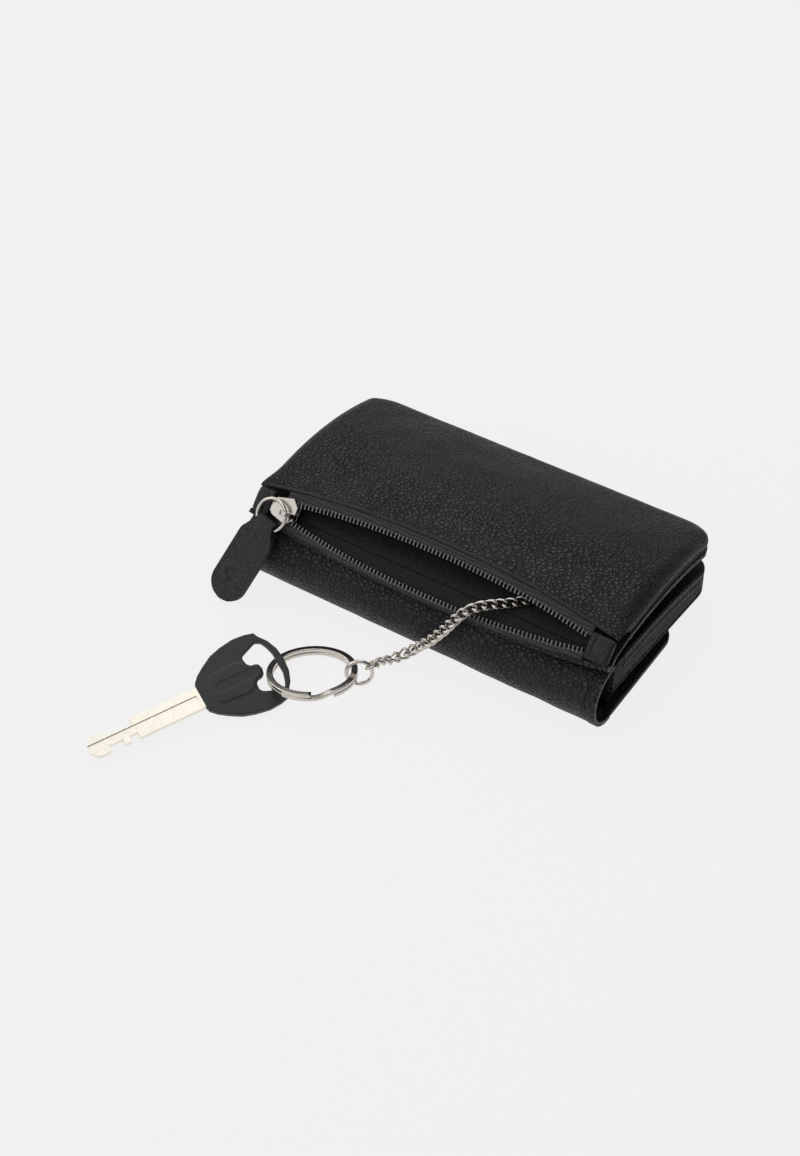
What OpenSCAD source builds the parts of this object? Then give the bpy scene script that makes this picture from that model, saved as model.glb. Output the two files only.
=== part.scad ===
// Leather key case: a zip pocket on a padded body that folds at the front into a
// shorter flap. Six key hooks sit under the flap, and a curb chain in the zip
// pocket carries a split ring with one key. The zip is shown half relaxed and open.

/* [Case] */
// Length of the case along its front fold
case_w = 120; // [112:1:130]
// Depth from the axis of the front fold to the rear edge
case_d = 62.6; // [58:0.2:66]
// Outer radius of the front fold
fold_r = 10.2; // [9.8:0.1:10.8]
// Radius of the rear corners
corner_r = 10; // [9:0.5:13]
// Thickness of the leather
leather_t = 1.4; // [1.2:0.1:1.5]
// Thickness of the lining
lining_t = 0.7; // [0.5:0.1:0.8]

/* [Flap] */
// Depth of the flat part of the flap
flap_d = 41; // [38:1:44]
// Radius of the flap's free corners
flap_corner_r = 8; // [5:0.5:10]

/* [Body panel] */
// Height of the body's top face half way to the rear, as a curve's control height
body_mid_z = 19.9; // [19:0.1:20.5]
// Height of the body's top face at the rear edge
body_rear_z = 11; // [10:0.5:12]
// Height of the body's underside at the front
base_front_z = 9.9; // [9.5:0.1:10.4]
// Height of the body's underside at the rear edge
base_rear_z = 3.2; // [2.8:0.1:3.6]

/* [Zip pocket] */
// Height of the zip's straight chord above the floor
mouth_z = 26; // [25:0.1:27]
// Tilt of the mouth from the floor, in degrees
mouth_tilt = 45; // [42:1:48]
// How far each row of teeth bows away from the chord in the middle
mouth_bow = 4.5; // [4:0.1:4.5]
// Height of the top panel at the rear
pocket_rear_z = 23.5; // [22.5:0.1:24.5]
// Control height that gives the top panel its crown
pocket_crown_z = 36; // [34:0.5:38]

/* [Zip] */
// Pitch of the coil teeth
tooth_pitch = 1.25; // [1.2:0.05:1.5]
// Length of a tooth across the zip
tooth_l = 1.7; // [1.5:0.1:1.7]
// Thickness of a tooth
tooth_t = 1.1; // [0.9:0.05:1.15]
// Thickness of the zip tape
tape_t = 0.4; // [0.3:0.05:0.5]
// Length of the slider
slider_l = 8.5; // [8:0.1:9]
// Width of the slider at its open end
slider_w = 8.2; // [7.8:0.1:8.4]

/* [Puller] */
// Mean radius of the puller's wire ring
puller_r = 4.8; // [4.6:0.1:5]
// Wire diameter of the puller's ring
puller_wire = 1; // [0.9:0.05:1]
// Length of the leather pull tab from the ring's centre to its tip
tab_l = 30.6; // [26:0.1:30.6]
// Width of the leather pull tab
tab_w = 12; // [10:0.5:12]

/* [Chain and ring] */
// Wire diameter of the chain's links
link_wire = 0.88; // [0.8:0.02:0.9]
// Number of links from the anchor to the end link
chain_links = 29; // [27:1:29]
// Outside diameter of the split ring
ring_d = 26; // [25:0.5:26]
// Width of the split ring's flat wire, across the ring
ring_wire_w = 1.9; // [1.7:0.1:2]
// Height of one turn of the split ring's wire
ring_wire_h = 1.08; // [1:0.02:1.1]

/* [Key] */
// Length of the key's blade
blade_l = 34.3; // [30:0.1:36]
// Width of the key's blade
blade_w = 6.4; // [6:0.1:6.8]
// Thickness of the key's blade
blade_t = 2; // [1.8:0.1:2.2]
// Thickness of the key's bow
bow_t = 2.5; // [2.3:0.1:2.6]

/* [Key hooks] */
// Number of key hooks
hook_count = 6; // [6:1:6]
// Distance between neighbouring hooks
hook_pitch = 16; // [15:0.5:17]
// Length of a hook from its pin to its tip
hook_l = 21; // [18:0.5:22]
// Wire diameter of a hook
hook_wire = 1.5; // [1.3:0.05:1.6]

/* [Hidden] */

// Fineness of round pieces
round_fn = 48;
wire_fn = 20;
// Overrun of every cut past the face that it opens
cut = 0.5;
// Gap between soft pieces of different bodies, and between stacked soft pieces of one body
soft_gap = 0.3;
ply_gap = 0.05;
// Running clearance of a pin in its hole
run_gap = 0.06;

// Places that follow from the case's sizes
fold_y = -flap_d / 2;
rear_y = fold_y + case_d;
half_w = case_w / 2;
// The zip's chord lies a little in front of the fold's axis
mouth_front = 1.5;
mouth_y = fold_y - mouth_front;

// Quadratic curve between two ends with a control value between them
function arch(a, c, b, t) = a * (1 - t) * (1 - t) + 2 * c * t * (1 - t) + b * t * t;
function clamp01(v) = min(1, max(0, v));
function smooth01(v) = let (q = clamp01(v)) q * q * (3 - 2 * q);
// Share of the body's depth at a place y behind the fold's axis
function depth_share(y) = (y - fold_y) / case_d;
// Top face and underside of the padded body
function body_top_z(y) = arch(2 * fold_r, body_mid_z, body_rear_z, depth_share(y));
function base_z(y) = base_front_z + (base_rear_z - base_front_z) * depth_share(y);
function base_tilt() = atan2(base_front_z - base_rear_z, case_d);

// Extrudes a profile drawn in (y, z) along the case's length
module along_case(length) {
    rotate([90, 0, 90]) linear_extrude(length, center = true) children();
}

// Plan outline with square front corners and round rear corners
module rear_rounded(width, front, rear, r) {
    translate([-width / 2, front]) square([width, rear - front - r]);
    translate([-width / 2 + r, front]) square([width - 2 * r, rear - front]);
    for (side = [-1, 1]) translate([side * (width / 2 - r), rear - r]) circle(r, $fn = round_fn);
}

// A half outline and its mirror image
module both_sides() {
    children();
    mirror([1, 0]) children();
}

// Places children in the mouth's plane: x along the zip, y across it, z outwards
module in_mouth() {
    translate([0, mouth_y, mouth_z]) rotate([mouth_tilt, 0, 0]) children();
}
function mouth_point(x, u, w) = [
    x,
    mouth_y + u * cos(mouth_tilt) - w * sin(mouth_tilt),
    mouth_z + u * sin(mouth_tilt) + w * cos(mouth_tilt)
];

// Closed skin between an upper and a lower grid of points, of rows x columns
module skin(upper, lower) {
    rows = len(upper);
    cols = len(upper[0]);
    count = rows * cols;
    points = concat([for (row = upper) each row], [for (row = lower) each row]);
    function at(r, c) = r * cols + c;
    faces = concat(
        [for (r = [0:rows - 2], c = [0:cols - 2]) each [
            [at(r, c), at(r + 1, c + 1), at(r + 1, c)],
            [at(r, c), at(r, c + 1), at(r + 1, c + 1)]]],
        [for (r = [0:rows - 2], c = [0:cols - 2]) each [
            [count + at(r, c), count + at(r + 1, c), count + at(r + 1, c + 1)],
            [count + at(r, c), count + at(r + 1, c + 1), count + at(r, c + 1)]]],
        [for (c = [0:cols - 2]) each [
            [at(0, c), count + at(0, c + 1), at(0, c + 1)],
            [at(0, c), count + at(0, c), count + at(0, c + 1)],
            [at(rows - 1, c), at(rows - 1, c + 1), count + at(rows - 1, c + 1)],
            [at(rows - 1, c), count + at(rows - 1, c + 1), count + at(rows - 1, c)]]],
        [for (r = [0:rows - 2]) each [
            [at(r, 0), at(r + 1, 0), count + at(r + 1, 0)],
            [at(r, 0), count + at(r + 1, 0), count + at(r, 0)],
            [at(r, cols - 1), count + at(r + 1, cols - 1), at(r + 1, cols - 1)],
            [at(r, cols - 1), count + at(r, cols - 1), count + at(r + 1, cols - 1)]]]
    );
    polyhedron(points = points, faces = faces, convexity = 6);
}

// Zip pocket
panel_cols = 22;
panel_rows = 14;
// The seam and the lower lip follow the teeth at these distances from the chord
seam_end_u = 4.1;
seam_bow = 5.4;
lip_end_u = 3.4;
lip_bow = 4.7;
// Width and fall of the rolled edge round the pocket
roll_w = 4.5;
roll_fall = 3.2;
// Width of the pocket panel's bulge over the padded body, at the sides
lift_w = 17;
// Height of the pocket's side seam at the front, as a control and at the rear
side_front_z = 24.8;
side_mid_z = 29;
side_rear_z = 18.6;

function bow_share(x) = 1 - pow(abs(x) / half_w, 2.2);
function seam_u(x) = seam_end_u + seam_bow * bow_share(x);
function lip_u(x) = -lip_end_u - lip_bow * bow_share(x);
// Columns lie closer together near the two sides
function col_x(c, width) = width / 2 * sin(90 * (2 * c / panel_cols - 1));
function corner_cut(x, r) =
    let (over = max(0, abs(x) - (half_w - r))) r - sqrt(max(0, r * r - over * over));
function rear_edge(x) = rear_y - corner_cut(x, corner_r);
// Rows lie closer together near the rear
function row_share(r) = sin(90 * r / panel_rows);
// How far a place has come over the pocket's rolled edge, 0 inside and 1 at the seam
function edge_share(x, y, width) = max(
    clamp01((abs(x) - (half_w - width)) / width),
    clamp01((y - (rear_edge(x) - width)) / width)
);
function roll_z(x, y) =
    let (e = edge_share(x, y, roll_w)) roll_fall * (1 - sqrt(max(0, 1 - e * e)));
function top_point(x, r) =
    let (
        front = mouth_point(x, seam_u(x), 0),
        share = row_share(r),
        y = front[1] + (rear_edge(x) - front[1]) * share,
        crown = arch(front[2], pocket_crown_z, pocket_rear_z, (y - front[1]) / (rear_y - front[1])),
        front_fade = smooth01(share * 5)
    ) [x, y, crown - roll_z(x, y) * front_fade];
function side_seam_z(y) = arch(side_front_z, side_mid_z, side_rear_z, depth_share(y));

module top_panel() {
    outer = [for (r = [0:panel_rows]) [for (c = [0:panel_cols]) top_point(col_x(c, case_w), r)]];
    inner = [for (row = outer) [for (p = row) [p[0], p[1], p[2] - leather_t]]];
    color([0.09, 0.09, 0.1]) skin(inner, outer);
}

// Rows of the back panel from its lip to the axis of the front fold
front_rows = 3;
// Sag of the panel between the lip and the padded body
lip_sag = 0.9;
// Upper face of the pocket's back panel: it lies on the padded body and rises to the seams
function back_point(x, r) =
    let (
        front = mouth_point(x, lip_u(x), 0),
        y = r < front_rows ? front[1] + (fold_y - front[1]) * r / front_rows
            : fold_y + (rear_edge(x) - fold_y) * sin(90 * (r - front_rows) / (panel_rows - front_rows)),
        below_z = y > fold_y ? body_top_z(y) : fold_r + sqrt(fold_r * fold_r - (fold_y - y) * (fold_y - y)),
        rest = below_z + 1.5 * soft_gap + leather_t,
        front_share = clamp01((y - front[1]) / (fold_y - front[1])),
        sag = lip_sag * (1 - bow_share(x)) * 4 * front_share * (1 - front_share),
        straight_z = front[2] + (2 * fold_r + 1.5 * soft_gap + leather_t - front[2]) * front_share - sag,
        floor_z = front_share < 1 ? max(straight_z, rest) : rest,
        lift = smooth01(edge_share(x, y, lift_w)) * pow(front_share, 3),
        rim_z = min(side_seam_z(y), top_edge_z(x, y)) - soft_gap
    ) [x, y, floor_z + (rim_z - floor_z) * lift];
// Underside of the top panel over a place near the rolled edge
function top_edge_z(x, y) =
    let (
        front = mouth_point(x, seam_u(x), 0),
        crown = arch(front[2], pocket_crown_z, pocket_rear_z, (y - front[1]) / (rear_y - front[1]))
    ) crown - roll_fall - leather_t;

module pocket_back_panel() {
    outer = [for (r = [0:panel_rows]) [for (c = [0:panel_cols]) back_point(col_x(c, case_w), r)]];
    inner = [for (row = outer) [for (p = row) [p[0], p[1], p[2] - leather_t]]];
    color([0.1, 0.1, 0.11]) skin(inner, outer);
}

// The lining lies on the back panel, inside the seams, on the panel's own rows and columns
lining_inset = 3;
lining_front_row = front_rows;
module pocket_lining() {
    inner = [for (r = [lining_front_row:panel_rows - lining_inset])
        [for (c = [lining_inset:panel_cols - lining_inset])
            let (p = back_point(col_x(c, case_w), r)) [p[0], p[1], p[2] + ply_gap]]];
    outer = [for (row = inner) [for (p = row) [p[0], p[1], p[2] + lining_t]]];
    color([0.04, 0.04, 0.05]) skin(inner, outer);
}

// Zip
zip_end_x = 51;
zip_shift = 1.2;
row_end_u = 0.9;
// Half width between the tips of the two rows, seen along the zip
function row_u(x) = row_end_u + mouth_bow * (1 - pow(abs(x - zip_shift) / (zip_end_x + zip_shift), 2.2));
tape_cols = 30;
// The tapes stop short of the leather's edge faces
tape_gap = 0.1;
function tape_x(c) = zip_shift + (zip_end_x) * (2 * c / tape_cols - 1);
function upper_tape_end(x) = seam_u(x) - tape_t / 2 - tape_gap;
function lower_tape_end(x) = lip_u(x) + tape_gap;

module tape(side) {
    function far(x) = side > 0 ? upper_tape_end(x) : lower_tape_end(x);
    function near(x) = side * (row_u(x) + tooth_l);
    function strip(w) = [for (edge = [0, 1]) [for (c = [0:tape_cols])
        let (x = tape_x(c)) mouth_point(x, edge == 0 ? near(x) : far(x), w)]];
    // The lower tape lies on the lip's outer side
    color([0.07, 0.07, 0.08])
        if (side > 0) skin(strip(-tape_t / 2), strip(tape_t / 2));
        else skin(strip(tape_t), strip(0));
}
module zip_tape_upper() { tape(1); }
module zip_tape_lower() { tape(-1); }

// One tooth: a turn of the coil seen from above as a rib
rib_share = 0.62;
module tooth() {
    rib_w = tooth_pitch * rib_share;
    translate([-rib_w / 2, 0, -tooth_t / 2]) cube([rib_w, tooth_l - ply_gap, tooth_t]);
}
module teeth(side) {
    count = floor(2 * zip_end_x / tooth_pitch);
    color([0.05, 0.05, 0.06]) in_mouth() for (i = [0:count - 1]) {
        x = zip_shift - zip_end_x + tooth_pitch * (i + 0.25 + (side > 0 ? 0 : 0.5));
        slope = atan2(row_u(x + tooth_pitch) - row_u(x - tooth_pitch), 2 * tooth_pitch);
        translate([x, side * row_u(x), 0]) rotate(side * slope) scale([1, side, 1]) tooth();
    }
}
module zip_teeth_upper() { teeth(1); }
module zip_teeth_lower() { teeth(-1); }

// Leather end tabs: folded strips that close both ends of the zip
end_tab_u = 3;
end_tab_t = 2.3;
end_tab_left_x = -53.9;
end_tab_right_x = zip_shift + zip_end_x + soft_gap;
module end_tab(from, to) {
    color([0.12, 0.12, 0.13]) in_mouth() translate([(from + to) / 2, 0, 0])
        rotate([90, 0, 90]) linear_extrude(abs(to - from), center = true) {
            edge_r = end_tab_t / 2;
            square([2 * (end_tab_u - edge_r), end_tab_t], center = true);
            for (side = [-1, 1]) translate([side * (end_tab_u - edge_r), 0]) circle(edge_r, $fn = wire_fn);
        }
}
side_reveal = 0.4;
module zip_end_tab_left() { end_tab(side_reveal - half_w, end_tab_left_x); }
module zip_end_tab_right() { end_tab(end_tab_right_x, half_w - side_reveal); }

// Slider: two shields joined by a diamond post, with rims that hold the rows and a
// bail for the puller's ring
slider_x = -49.2;
shield_t = 0.6;
shield_gap = 1.5;
slider_rear_w = 5.4;
rim_w = 0.5;
rim_t = 0.15;
post_r = 0.75;
bail_r = 1.95;
bail_hole_r = 1.1;
bail_w = 1.4;
bail_ahead = 2.2;
bail_x = slider_x + bail_ahead;
bail_u = -1;
bail_sink = 0.3;
bail_z = shield_gap / 2 + shield_t + bail_r - bail_sink;

shield_bevel = 1.1;
module shield_outline(inset) {
    front = slider_w / 2 - inset;
    rear = slider_rear_w / 2 - inset;
    half = slider_l / 2 - inset;
    bevel = shield_bevel;
    polygon([
        [-half, -rear + bevel], [-half + bevel, -rear], [half - 2 * bevel, -front],
        [half, -front + 2 * bevel], [half, front - 2 * bevel], [half - 2 * bevel, front],
        [-half + bevel, rear], [-half, rear - bevel]
    ]);
}
module slider_body() {
    color([0.8, 0.78, 0.75]) in_mouth() {
        translate([slider_x, 0, 0]) {
            for (face = [0, 1]) mirror([0, 0, face]) {
                translate([0, 0, shield_gap / 2]) linear_extrude(shield_t) shield_outline(0);
                translate([0, 0, shield_gap / 2 - rim_t]) linear_extrude(rim_t) intersection() {
                    difference() {
                        shield_outline(0);
                        shield_outline(rim_w);
                    }
                    // The rims leave the open and the closed end free
                    square([slider_l - 4 * rim_w, slider_w + cut], center = true);
                }
            }
            translate([slider_l / 2 - 2 * post_r, 0, -shield_gap / 2]) cylinder(shield_gap, r = post_r, $fn = wire_fn);
        }
        translate([bail_x, bail_u + bail_w / 2, 0]) rotate([90, 0, 0]) linear_extrude(bail_w) difference() {
            union() {
                translate([0, bail_z]) circle(bail_r, $fn = round_fn);
                translate([-bail_r, shield_gap / 2 + shield_t]) square([2 * bail_r, bail_z - shield_gap / 2 - shield_t]);
            }
            translate([0, bail_z]) circle(bail_hole_r, $fn = round_fn);
        }
    }
}

// Puller: a wire ring through the bail and a folded leather tab round the ring.
// Both lie in one plane, a little steeper than the mouth.
puller_tilt = 10.5;
puller_drop = 1.8;
tab_turn = 15.8;
module in_puller() {
    in_mouth() translate([bail_x, bail_u, bail_z]) rotate([puller_tilt, 0, 0])
        translate([-sqrt(puller_r * puller_r - puller_drop * puller_drop), -puller_drop, 0]) children();
}
module puller_ring() {
    color([0.8, 0.78, 0.75]) in_puller() rotate_extrude($fn = round_fn)
        translate([puller_r, 0]) circle(puller_wire / 2, $fn = wire_fn);
}
tab_ply = 0.85;
tab_top = 1.5;
tab_web_w = 6.2;
tab_neck_w = 9;
tab_slot_end = puller_r + puller_wire / 2 + tab_ply;
module pull_tab() {
    half_slot = puller_wire / 2 + 2 * ply_gap;
    loop_t = half_slot + tab_ply;
    body_t = tab_ply + ply_gap;
    color([0.17, 0.18, 0.19]) in_puller() rotate(-tab_turn) rotate(180) difference() {
        intersection() {
            linear_extrude(4 * loop_t, center = true) union() {
                both_sides() polygon([
                    [0, tab_top], [tab_web_w / 2, tab_top], [tab_web_w / 2, tab_top + tab_ply],
                    [tab_neck_w / 2, puller_r], [tab_neck_w / 2, tab_slot_end],
                    [tab_w / 2, tab_slot_end + 2 * tab_ply], [tab_w / 2, tab_l - tab_w / 2],
                    [0, tab_l - tab_w / 2]
                ]);
                translate([0, tab_l - tab_w / 2]) circle(tab_w / 2, $fn = round_fn);
            }
            rotate([90, 0, 90]) linear_extrude(2 * tab_w, center = true) polygon([
                [tab_top, -loop_t + tab_ply / 2], [tab_top + tab_ply / 2, -loop_t],
                [tab_slot_end, -loop_t], [tab_slot_end + 3 * tab_ply, -body_t],
                [tab_l + cut, -body_t], [tab_l + cut, body_t],
                [tab_slot_end + 3 * tab_ply, body_t], [tab_slot_end, loop_t],
                [tab_top + tab_ply / 2, loop_t], [tab_top, loop_t - tab_ply / 2]
            ]);
        }
        translate([-tab_w, tab_top + tab_ply, -half_slot])
            cube([2 * tab_w, tab_slot_end - tab_top - tab_ply, 2 * half_slot]);
    }
}

// Padded body: leather top with turned-down sides, padding, and a base panel
body_steps = 8;
base_t = 1.2;
function body_ys() = [for (i = [0:body_steps]) fold_y + case_d * i / body_steps];
// Profile between the underside raised by low and the top face lowered by high
module body_profile(low, high) {
    ys = body_ys();
    polygon(concat(
        [for (y = ys) [y, body_top_z(y) - high]],
        [for (i = [body_steps:-body_steps:0]) [ys[i], base_z(ys[i]) + low]]
    ));
}
module body_block(low, high, inset) {
    intersection() {
        along_case(case_w) body_profile(low, high);
        linear_extrude(3 * fold_r)
            rear_rounded(case_w - 2 * inset, fold_y - cut, rear_y - inset, corner_r - inset);
    }
}
module body_top_panel() {
    color([0.1, 0.1, 0.11]) difference() {
        body_block(base_t + ply_gap, 0, 0);
        body_block(-base_t, leather_t, leather_t);
    }
}
module body_padding() {
    color([0.3, 0.3, 0.3]) body_block(base_t + 2 * ply_gap, leather_t + ply_gap, leather_t + ply_gap);
}
module body_base_panel() {
    color([0.09, 0.09, 0.1]) intersection() {
        along_case(case_w) polygon([
            [fold_y, base_z(fold_y)], [rear_y, base_z(rear_y)],
            [rear_y, base_z(rear_y) + base_t], [fold_y, base_z(fold_y) + base_t]
        ]);
        linear_extrude(3 * fold_r) rear_rounded(case_w, fold_y - cut, rear_y, corner_r);
    }
}

// Front fold: half a tube of leather with its lining
module half_tube(outer, thickness) {
    difference() {
        circle(outer, $fn = 2 * round_fn);
        circle(outer - thickness, $fn = 2 * round_fn);
        translate([0, -2 * outer]) square(4 * outer);
    }
}
fold_edge = 3;
module fold_spine() {
    color([0.13, 0.13, 0.14]) translate([0, fold_y, fold_r]) along_case(case_w) half_tube(fold_r, leather_t);
}
module fold_lining() {
    color([0.06, 0.06, 0.07]) translate([0, fold_y, fold_r])
        along_case(case_w - 2 * fold_edge) half_tube(fold_r - leather_t - ply_gap, lining_t);
}

// Flap: it turns about the crease where the fold meets the floor
flap_t = 1.8;
flap_lining_t = 1;
module flap() {
    color([0.1, 0.1, 0.11]) linear_extrude(flap_t)
        rear_rounded(case_w, fold_y + soft_gap, flap_d / 2, flap_corner_r);
}
module flap_lining() {
    color([0.06, 0.06, 0.07]) translate([0, 0, flap_t]) linear_extrude(flap_lining_t)
        rear_rounded(case_w - 2 * fold_edge, fold_y + fold_edge, flap_d / 2 - fold_edge, flap_corner_r - fold_edge);
}

// Snap fastener that holds the flap: stud under the body, socket on the flap's lining
snap_inset = 8;
snap_y = flap_d / 2 - snap_inset;
snap_r = 5;
snap_stud_r = 2;
snap_top_z = flap_t + flap_lining_t;
snap_socket_t = 1.6;
snap_base_t = 0.8;
module snap_stud() {
    stud_base_z = base_z(snap_y + snap_r) - snap_base_t;
    color([0.75, 0.73, 0.7]) translate([0, snap_y, 0]) {
        translate([0, 0, stud_base_z]) cylinder(snap_base_t - ply_gap, r = snap_r, $fn = round_fn);
        translate([0, 0, snap_top_z + snap_socket_t / 2])
            cylinder(stud_base_z - snap_top_z - snap_socket_t / 2, r = snap_stud_r, $fn = round_fn);
    }
}
module snap_socket() {
    color([0.75, 0.73, 0.7]) translate([0, snap_y, snap_top_z]) difference() {
        cylinder(snap_socket_t, r = snap_r, $fn = round_fn);
        translate([0, 0, snap_socket_t / 4]) cylinder(snap_socket_t, r = snap_stud_r + 2 * run_gap, $fn = round_fn);
    }
}

// Key hooks: a rail riveted under the body, with a pin for each hook
rail_setback = 7;
rail_y = fold_y + rail_setback;
rail_d = 9;
rail_t = 0.8;
pin_r = 1.1;
pin_head_r = 2.2;
pin_head_t = 0.6;
rivet_r = 1.4;
hook_t = hook_wire;
hook_gap = 0.15;
// Frame on the body's sloping underside: z = 0 is the underside, pieces hang below it
module under_body() {
    translate([0, rail_y, base_z(rail_y)]) rotate([-base_tilt(), 0, 0]) children();
}
function hook_x(i) = (i - (hook_count - 1) / 2) * hook_pitch;
hook_eye_r = 2.8;
// Solid neck between a hook's eye and its loop
hook_neck = 1.2;
hook_loop_r = 2.6;
// The rivets sit just outside the outer hooks
rivet_place = hook_x(hook_count - 1) + hook_eye_r + pin_head_r + 2 * soft_gap;
rail_l = 2 * rivet_place + rail_d * 0.7;
function rivet_x(side) = side * rivet_place;
module hook_rail() {
    color([0.8, 0.78, 0.75]) under_body() translate([0, 0, -rail_t]) difference() {
        linear_extrude(rail_t - ply_gap) {
            square([rail_l - rail_d, rail_d], center = true);
            for (side = [-1, 1]) translate([side * (rail_l - rail_d) / 2, 0]) circle(rail_d / 2, $fn = round_fn);
        }
        for (i = [0:hook_count - 1]) translate([hook_x(i), 0, -cut]) cylinder(rail_t + 2 * cut, r = pin_r, $fn = wire_fn);
        for (side = [-1, 1]) translate([rivet_x(side), 0, -cut]) cylinder(rail_t + 2 * cut, r = rivet_r, $fn = wire_fn);
    }
}
module rail_rivets() {
    color([0.7, 0.68, 0.65]) under_body() for (side = [-1, 1]) translate([rivet_x(side), 0, 0]) {
        translate([0, 0, -rail_t]) cylinder(rail_t - ply_gap, r = rivet_r, $fn = wire_fn);
        translate([0, 0, -rail_t - pin_head_t]) cylinder(pin_head_t, r = pin_head_r, $fn = wire_fn);
    }
}
pin_l = hook_t + 2 * hook_gap;
module hook_pins() {
    color([0.7, 0.68, 0.65]) under_body() for (i = [0:hook_count - 1]) translate([hook_x(i), 0, 0]) {
        translate([0, 0, -rail_t - pin_l]) cylinder(rail_t + pin_l - ply_gap, r = pin_r, $fn = wire_fn);
        translate([0, 0, -rail_t - pin_l - pin_head_t]) cylinder(pin_head_t, r = pin_head_r, $fn = wire_fn);
    }
}
module key_hook(i) {
    neck_l = hook_eye_r + hook_neck;
    far_y = hook_l - hook_loop_r;
    color([0.82, 0.8, 0.77]) under_body() translate([hook_x(i), 0, -rail_t - hook_gap - hook_t]) {
        difference() {
            union() {
                cylinder(hook_t, r = hook_eye_r, $fn = round_fn);
                translate([-hook_loop_r, 0, 0]) cube([2 * hook_loop_r, neck_l, hook_t]);
            }
            translate([0, 0, -cut]) cylinder(hook_t + 2 * cut, r = pin_r + run_gap, $fn = wire_fn);
        }
        translate([0, 0, hook_t / 2]) {
            for (side = [-1, 1]) translate([side * (hook_loop_r - hook_wire / 2), neck_l - hook_wire / 2, 0])
                rotate([-90, 0, 0]) cylinder(far_y - neck_l + hook_wire / 2, r = hook_wire / 2, $fn = wire_fn);
            translate([0, far_y, 0]) rotate_extrude(angle = 180, $fn = round_fn)
                translate([hook_loop_r - hook_wire / 2, 0]) circle(hook_wire / 2, $fn = wire_fn);
        }
    }
}
module key_hook_1() { key_hook(0); }
module key_hook_2() { key_hook(1); }
module key_hook_3() { key_hook(2); }
module key_hook_4() { key_hook(3); }
module key_hook_5() { key_hook(4); }
module key_hook_6() { key_hook(5); }

// Curb chain: twisted oval links along a route from the anchor in the pocket, over the
// lower row of teeth, down past the fold and along the floor
link_a = 2.05;
link_b = 1.3;
link_twist = 0.85;
link_rings = 16;
link_sides = 6;
// Route relative to the mouth's chord in y and to the floor in z
chain_route = [
    [44.5, 24.5, 25.4], [33, 11.5, 24.6], [25.5, 3.2, 24.6], [21.5, -0.2, 24.8], [18.6, -2.9, 24.6],
    [16.3, -6.4, 24.1], [14.3, -8, 21.5], [12.3, -8.9, 18], [10.2, -9.7, 15.1], [7.5, -10.5, 11.5],
    [4.5, -11, 8.4], [2.3, -11.6, 5.8], [0.2, -12.9, 4.1], [-1.4, -15, 3.5], [-2.4, -17.7, 4.2],
    [-3.2, -20.3, 5.5], [-3.41, -23.15, 6.25]
];
// Rounds the corners of a path
function rounded(path) = [
    path[0],
    for (i = [0:len(path) - 2]) each [
        0.75 * path[i] + 0.25 * path[i + 1],
        0.25 * path[i] + 0.75 * path[i + 1]],
    path[len(path) - 1]
];
route = rounded(rounded([for (p = chain_route) [p[0], p[1] + mouth_y, p[2]]]));
route_sums = [for (i = 0, s = 0; i < len(route); i = i + 1, s = s + norm(route[min(i, len(route) - 1)] - route[i - 1])) s];
function unit(v) = v / norm(v);
function route_len(i) = route_sums[i];
function route_leg(s, i = 1) = i >= len(route) - 1 || route_len(i) >= s ? i : route_leg(s, i + 1);
function route_point(s) =
    let (i = route_leg(s)) route[i - 1] + unit(route[i] - route[i - 1]) * (s - route_len(i - 1));
// Links up to this one lie in the pocket, and the rest hang out
chain_pivot_link = 14;
link_pitch = route_len(len(route) - 1) / (chain_links - 1);
function link_centre(i) = route_point(link_pitch * i);
// Which way a link's flat side faces: it turns at both ends to suit the wires it hangs on
flat_mid = unit([0, -1, 1]);
flat_start = [0, 0, 1];
flat_end = [-0.49, -0.06, 0.87];
turn_links = 7;
function link_flat(i) =
    let (
        from = clamp01(1 - i / turn_links),
        to = clamp01(1 - (chain_links - 1 - i) / turn_links)
    ) flat_start * from + flat_end * to + flat_mid * (1 - from - to);
function link_frame(i) =
    let (
        along = unit(link_centre(i + 0.5) - link_centre(i - 0.5)),
        side = unit(cross(link_flat(i), along)),
        up = cross(along, side)
    ) [along, side, up];
// The first and the last link are flat where they hang on another wire
function twist_of(i, t) =
    (i == 0 && cos(t) < 0) || (i == chain_links - 1 && cos(t) > 0) ? 0 : link_twist * sin(2 * t);
function link_path(i) =
    let (c = link_centre(i), f = link_frame(i)) [for (k = [0:link_rings - 1])
        let (t = 360 * k / link_rings)
        c + f[0] * link_a * cos(t) + f[1] * link_b * sin(t) + f[2] * twist_of(i, t)];

// Closed tube round a closed path
module closed_tube(path, r, sides) {
    n = len(path);
    function tangent(k) = unit(path[(k + 1) % n] - path[(k + n - 1) % n]);
    centre = [for (axis = [0:2]) ([for (p = path) 1] * [for (p = path) p[axis]]) / n];
    points = [for (k = [0:n - 1])
        let (
            t = tangent(k),
            out = unit((path[k] - centre) - t * (t * (path[k] - centre))),
            bi = cross(t, out)
        ) each [for (s = [0:sides - 1]) path[k] + r * (out * cos(360 * s / sides) + bi * sin(360 * s / sides))]];
    faces = [for (k = [0:n - 1], s = [0:sides - 1])
        let (k2 = (k + 1) % n, s2 = (s + 1) % sides) each [
            [k * sides + s, k2 * sides + s2, k * sides + s2],
            [k * sides + s, k2 * sides + s, k2 * sides + s2]]];
    polyhedron(points = points, faces = faces, convexity = 4);
}
module chain_inner_links() {
    color([0.78, 0.75, 0.72]) for (i = [0:chain_pivot_link - 1]) closed_tube(link_path(i), link_wire / 2, link_sides);
}
module chain_outer_links() {
    color([0.78, 0.75, 0.72]) for (i = [chain_pivot_link:chain_links - 1])
        closed_tube(link_path(i), link_wire / 2, link_sides);
}

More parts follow.
